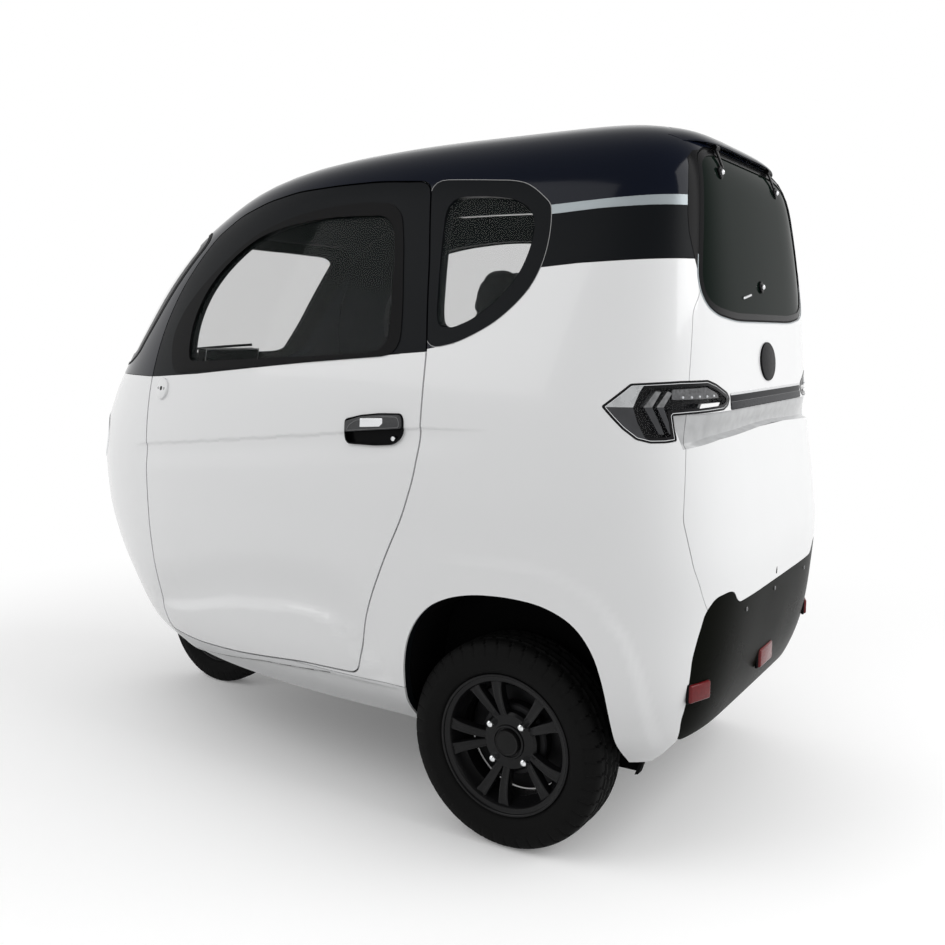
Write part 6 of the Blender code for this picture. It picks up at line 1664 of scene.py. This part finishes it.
def make_roof_lip():
    """The roof's rear edge, which swells a little and overhangs the top of the rear glass."""
    rings = []
    for x in np.linspace(-LIP_HALF, LIP_HALF, 81):
        u = abs(x) / LIP_HALF
        out = 1 - u**4
        drop = 0.009 * u**3
        heights = [LIP_LOW + (z - LIP_LOW) * (1 - 0.76 * u**2) - drop for z, _ in LIP_PROFILE]
        ring = [Vector((x, skin_tail_y(x, z) + stand * out + 0.0003, z))
                for z, (_, stand) in zip(heights, LIP_PROFILE)]
        ring.insert(0, ring[0] + Vector((0, -0.001, -0.005)))
        ring.append(Vector((x, skin_tail_y(x, heights[-1]) - 0.006, heights[-1] + 0.001)))
        rings.append(ring)
    piece("roof_lip", Maker().loft(rings).mesh(), "body", "navy", skin=False)


def make_hinges():
    """Slim hinges under the roof's edge, in place of the plain ones."""
    for side, word in ((1, "left"), (-1, "right")):
        x, y, z = side * HINGE_X, HINGE_Y, HINGE_Z
        inner, outer = (side * (HINGE_X - HINGE_LENGTH), y, z), (x - side * HINGE_PLAY, y, z)
        maker = Maker().bar(inner, outer, HINGE_RADIUS, 24, edge=HINGE_EDGE)
        middle = side * (HINGE_X - HINGE_MIDDLE)
        foot = z - HINGE_DROP
        low = Vector((middle, skin_tail_y(HINGE_X, foot) + HINGE_STAND, foot))
        high = Vector((middle, y, z - HINGE_SUNK))
        rings = []
        for t in np.linspace(0, 1, 9):
            half = HINGE_HALF - HINGE_NARROWING * t
            centre = high + (low - high) * t
            rings.append([centre + Vector((a * half, b, 0)) for a, b in HINGE_SECTION])
        maker.loft(rings)
        piece(f"hinge_arm_{word}", maker.mesh(), "rear_hatch", "gloss_black",
              [f"hatch_hinge_{word}"], skin=False)


def make_seam_highlight():
    """A thin light line of painted highlight on the seam round the quarter frame."""
    outer, inner = [side_prism(widened(OUTLINE["frame"], margin)) for margin in SEAM_HIGHLIGHT_MARGINS]
    door = side_prism(widened(OUTLINE["door"], SEAM))
    piece("quarter_seam_highlight", combine(band("seam_highlight"), keep(outer) + cut(inner, door)), "body", "seam_painted_highlight")


# Cushions
def shrunk(mesh, inset):
    """The mesh made smaller about its own middle, by the inset on each side."""
    points = vectors(mesh.vertices)
    low, high = points.min(axis=0), points.max(axis=0)
    middle, size = (low + high) / 2, high - low
    points = middle + (points - middle) * (1 - 2 * inset / size)
    mesh.vertices.foreach_set("co", points.ravel())
    return mesh


def swollen(value, power):
    return math.copysign(abs(value) ** power, value)


def headrest_mesh():
    """A rounded block with an arched top."""
    half_width, above, below, half_depth = HEADREST_HALVES
    outline = []
    for angle in np.linspace(0, 2 * math.pi, 48, endpoint=False):
        rise = math.sin(angle)
        height, power = (above, 0.75) if rise > 0 else (below, 0.4)
        outline.append((half_width * swollen(math.cos(angle), 0.5), height * swollen(rise, power)))
    rings = []
    for t in np.linspace(-1, 1, 15):
        half = half_depth * (1 - abs(t) ** 5 * 0.45)
        scale = 1 - abs(t) ** 4 * 0.12
        rings.append([HEADREST + Vector((u * scale, t * half + v * 0.16, v * scale)) for u, v in outline])
    return Maker().loft(rings).mesh()


def soft_start(mesh, inset):
    """A closed even mesh, a little smaller than the solid that it stands for, ready to be blown up."""
    obj = new_object("soft", shrunk(mesh, inset))
    remesh = obj.modifiers.new("even", "REMESH")
    remesh.mode = "VOXEL"
    remesh.voxel_size = SOFT_VOXEL
    even = evaluated_mesh(obj)
    drop(obj)
    return new_object("soft", even)


def add_cloth(obj):
    cloth = obj.modifiers.new("cloth", "CLOTH")
    for name, value in CLOTH.items():
        setattr(cloth.settings, name, value)
    cloth.settings.effector_weights.gravity = 0
    cloth.collision_settings.use_collision = False
    cloth.collision_settings.use_self_collision = False


def held_within(points, start, cap, low, high):
    """Points moved no further than the cap from where they started, inside the box."""
    move = points - start
    length = np.linalg.norm(move, axis=1, keepdims=True)
    moved = start + move * np.minimum(1, cap / np.maximum(length, 1e-9))
    return np.clip(moved, low, high)


def seamed(mesh, lines):
    """Sink the surface along seam planes: each is a direction, a place, a depth, a width and a facing."""
    points, normals = vectors(mesh.vertices), vectors(mesh.vertex_normals, "vector")
    low, high = points.min(axis=0), points.max(axis=0)
    depth_at = np.zeros(len(points))
    for direction, place, depth, width, facing in lines:
        direction, facing = np.array(direction, float), np.array(facing, float)
        middle = (low + high) / 2 + direction * place * (high - low) / 2
        off = (points - middle) @ direction
        ready = fade(normals @ facing, 0.25, 0.7) if facing.any() else 1.0
        depth_at = np.maximum(depth_at, depth * np.exp(-((off / width) ** 2)) * ready)
    points = points - normals * depth_at[:, None]
    mesh.vertices.foreach_set("co", points.ravel())
    mesh.update()
    return mesh


def smoothed(mesh):
    obj = new_object("soft", mesh)
    obj.modifiers.new("even", "SMOOTH").iterations = 3
    divided = obj.modifiers.new("finer", "SUBSURF")
    divided.levels = divided.render_levels = 1
    finer = evaluated_mesh(obj)
    drop(obj)
    return finer


def make_cushions():
    """Cushions swollen by air pressure, then held to their solids' room and sewn."""
    made = []
    for _, node, _, cap, _ in SOFT_ROWS:
        source = frame["nodes"][node].data.copy() if node else headrest_mesh()
        points = vectors(source.vertices)
        room = (points.min(axis=0) - SOFT_ROOM, points.max(axis=0) + SOFT_ROOM)
        obj = soft_start(source, cap * SOFT_START)
        made.append((obj, room, vectors(obj.data.vertices)))
    for obj, _, _ in made:
        add_cloth(obj)
    for step in range(1, SOFT_FRAMES + 1):
        bpy.context.scene.frame_set(step)
    for (name, node, fill, cap, seams), (obj, room, start) in zip(SOFT_ROWS, made):
        mesh = evaluated_mesh(obj)
        blown = held_within(vectors(mesh.vertices), start, cap * SOFT_REACH, *room)
        mesh.vertices.foreach_set("co", blown.ravel())
        drop(obj)
        nodes = [node] if node else ()
        cushion = piece(name, seamed(smoothed(mesh), seams), "body", "fabric", nodes, skin=False)
    bpy.context.scene.frame_set(1)
    posts = Maker()
    for side in (-1, 1):
        run = curve_through([(side * POST_X, y, z) for y, z in POST_RUN], 6)
        posts.tube(run, POST_RADIUS, 16)
    piece("headrest_posts", posts.mesh(), "body", "chrome", skin=False)


# Studio
def make_studio():
    world = bpy.data.worlds.new("studio")
    bpy.context.scene.world = world
    world.use_nodes = True
    tree = world.node_tree
    path = add_node(tree, "LightPath").outputs
    place = add_node(tree, "TexCoord").outputs["Generated"]
    upward = add_node(tree, "SeparateXYZ", {"Vector": place}).outputs["Z"]
    sky = add_node(tree, "MapRange", {
        "From Min": SKY_FADE[0], "From Max": SKY_FADE[1], "To Min": 1.0, "To Max": SKY_OVERHEAD,
        "Value": upward}, interpolation_type="SMOOTHSTEP").outputs["Result"]
    shiny = add_node(tree, "Mix", {"A": SKY_LIGHT, "B": sky, "Factor": path["Is Glossy Ray"]})
    seen = larger(tree, path["Is Camera Ray"], path["Is Transmission Ray"])
    strength = add_node(tree, "Mix", {"A": shiny.outputs["Result"], "B": 1.0, "Factor": seen})
    background = tree.nodes["Background"]
    background.inputs["Color"].default_value = (1, 1, 1, 1)
    tree.links.new(strength.outputs["Result"], background.inputs["Strength"])
    for name, place, power in LAMPS:
        lamp(name, place, power)
    floor = bpy.data.meshes.new("floor")
    corners = [(x * FLOOR_REACH, y * FLOOR_REACH, 0) for x, y in ((-1, -1), (1, -1), (1, 1), (-1, 1))]
    floor.from_pydata(corners, [], [(0, 1, 2, 3)])
    ground = new_object("studio_floor", floor)
    floor.materials.append(floor_material())


def floor_material():
    """A pale floor that looks white to the camera and in reflections, and keeps the object's shadow."""
    material = node_material("floor_pale", (0.52, 0.52, 0.52), 0.85, variation=0.01, spread=0.03)
    tree = material.node_tree
    path = add_node(tree, "LightPath").outputs
    seen = larger(tree, path["Is Camera Ray"], path["Is Glossy Ray"])
    seen = larger(tree, seen, path["Is Transmission Ray"])
    place = add_node(tree, "TexCoord").outputs["Object"]
    far = add_node(tree, "VectorMath", {0: place}, operation="LENGTH").outputs["Value"]
    fading = add_node(tree, "MapRange", {
        "From Min": FLOOR_FADE[0], "From Max": FLOOR_FADE[1], "Value": far},
        interpolation_type="SMOOTHSTEP").outputs["Result"]
    lift = add_node(tree, "Emission", {"Strength": FLOOR_LIFT}).outputs["Emission"]
    pale = add_node(tree, "BsdfDiffuse", {"Color": FLOOR_PALE}).outputs["BSDF"]
    lifted = add_node(tree, "AddShader", {0: pale, 1: lift}).outputs["Shader"]
    white = add_node(tree, "Emission").outputs["Emission"]
    near = add_node(tree, "MixShader", {"Fac": fading, 1: lifted, 2: white}).outputs["Shader"]
    plain = tree.nodes["Principled BSDF"].outputs["BSDF"]
    final = add_node(tree, "MixShader", {"Fac": seen, 1: plain, 2: near})
    tree.links.new(final.outputs["Shader"], tree.nodes["Material Output"].inputs["Surface"])
    return material


def lamp(name, place, power):
    data = bpy.data.lights.new(name, "AREA")
    data.size = LAMP_SIZE
    data.energy = power
    obj = new_object(name, data)
    obj.location = place
    obj.rotation_euler = (Vector(LAMP_AIM) - Vector(place)).to_track_quat("-Z", "Y").to_euler()


def make_camera():
    data = bpy.data.cameras.new("camera")
    data.lens = CAMERA_LENS
    data.sensor_width = CAMERA_SENSOR
    obj = new_object("camera", data)
    level = math.cos(CAMERA_DIP)
    aim = Vector((-math.cos(CAMERA_TURN) * level, -math.sin(CAMERA_TURN) * level, -math.sin(CAMERA_DIP)))
    obj.location = CAMERA_PLACE
    obj.rotation_euler = aim.to_track_quat("-Z", "Y").to_euler()
    bpy.context.scene.camera = obj


def build():
    make_camera()
    make_studio()
    dress_solids()
    outer, inner = body_mesh(0), body_mesh(WALL, OVERRUN)
    shell = combine(outer, cut(inner))
    near, deep = GLASS_DEPTHS
    glass = combine(body_mesh(near, OVERRUN), cut(body_mesh(deep, OVERRUN * 2)))
    rubber = band("rubber")
    make_roof(shell)
    make_cowl(shell)
    make_lower_body(shell)
    make_tail(shell)
    make_doors(shell, glass, rubber)
    make_glass(glass)
    make_tail_lamps()
    make_light_bar()
    make_handles()
    make_mirror_bases()
    make_bumper_parts()
    make_badge()
    make_hatch_borders()
    make_hatch_parts()
    make_roof_lip()
    make_hinges()
    make_seam_highlight()
    make_head_lamps()
    make_windshield_parts()
    make_controls()
    make_wheels()
    make_cushions()


build()
bpy.context.scene.view_settings.view_transform = "Standard"
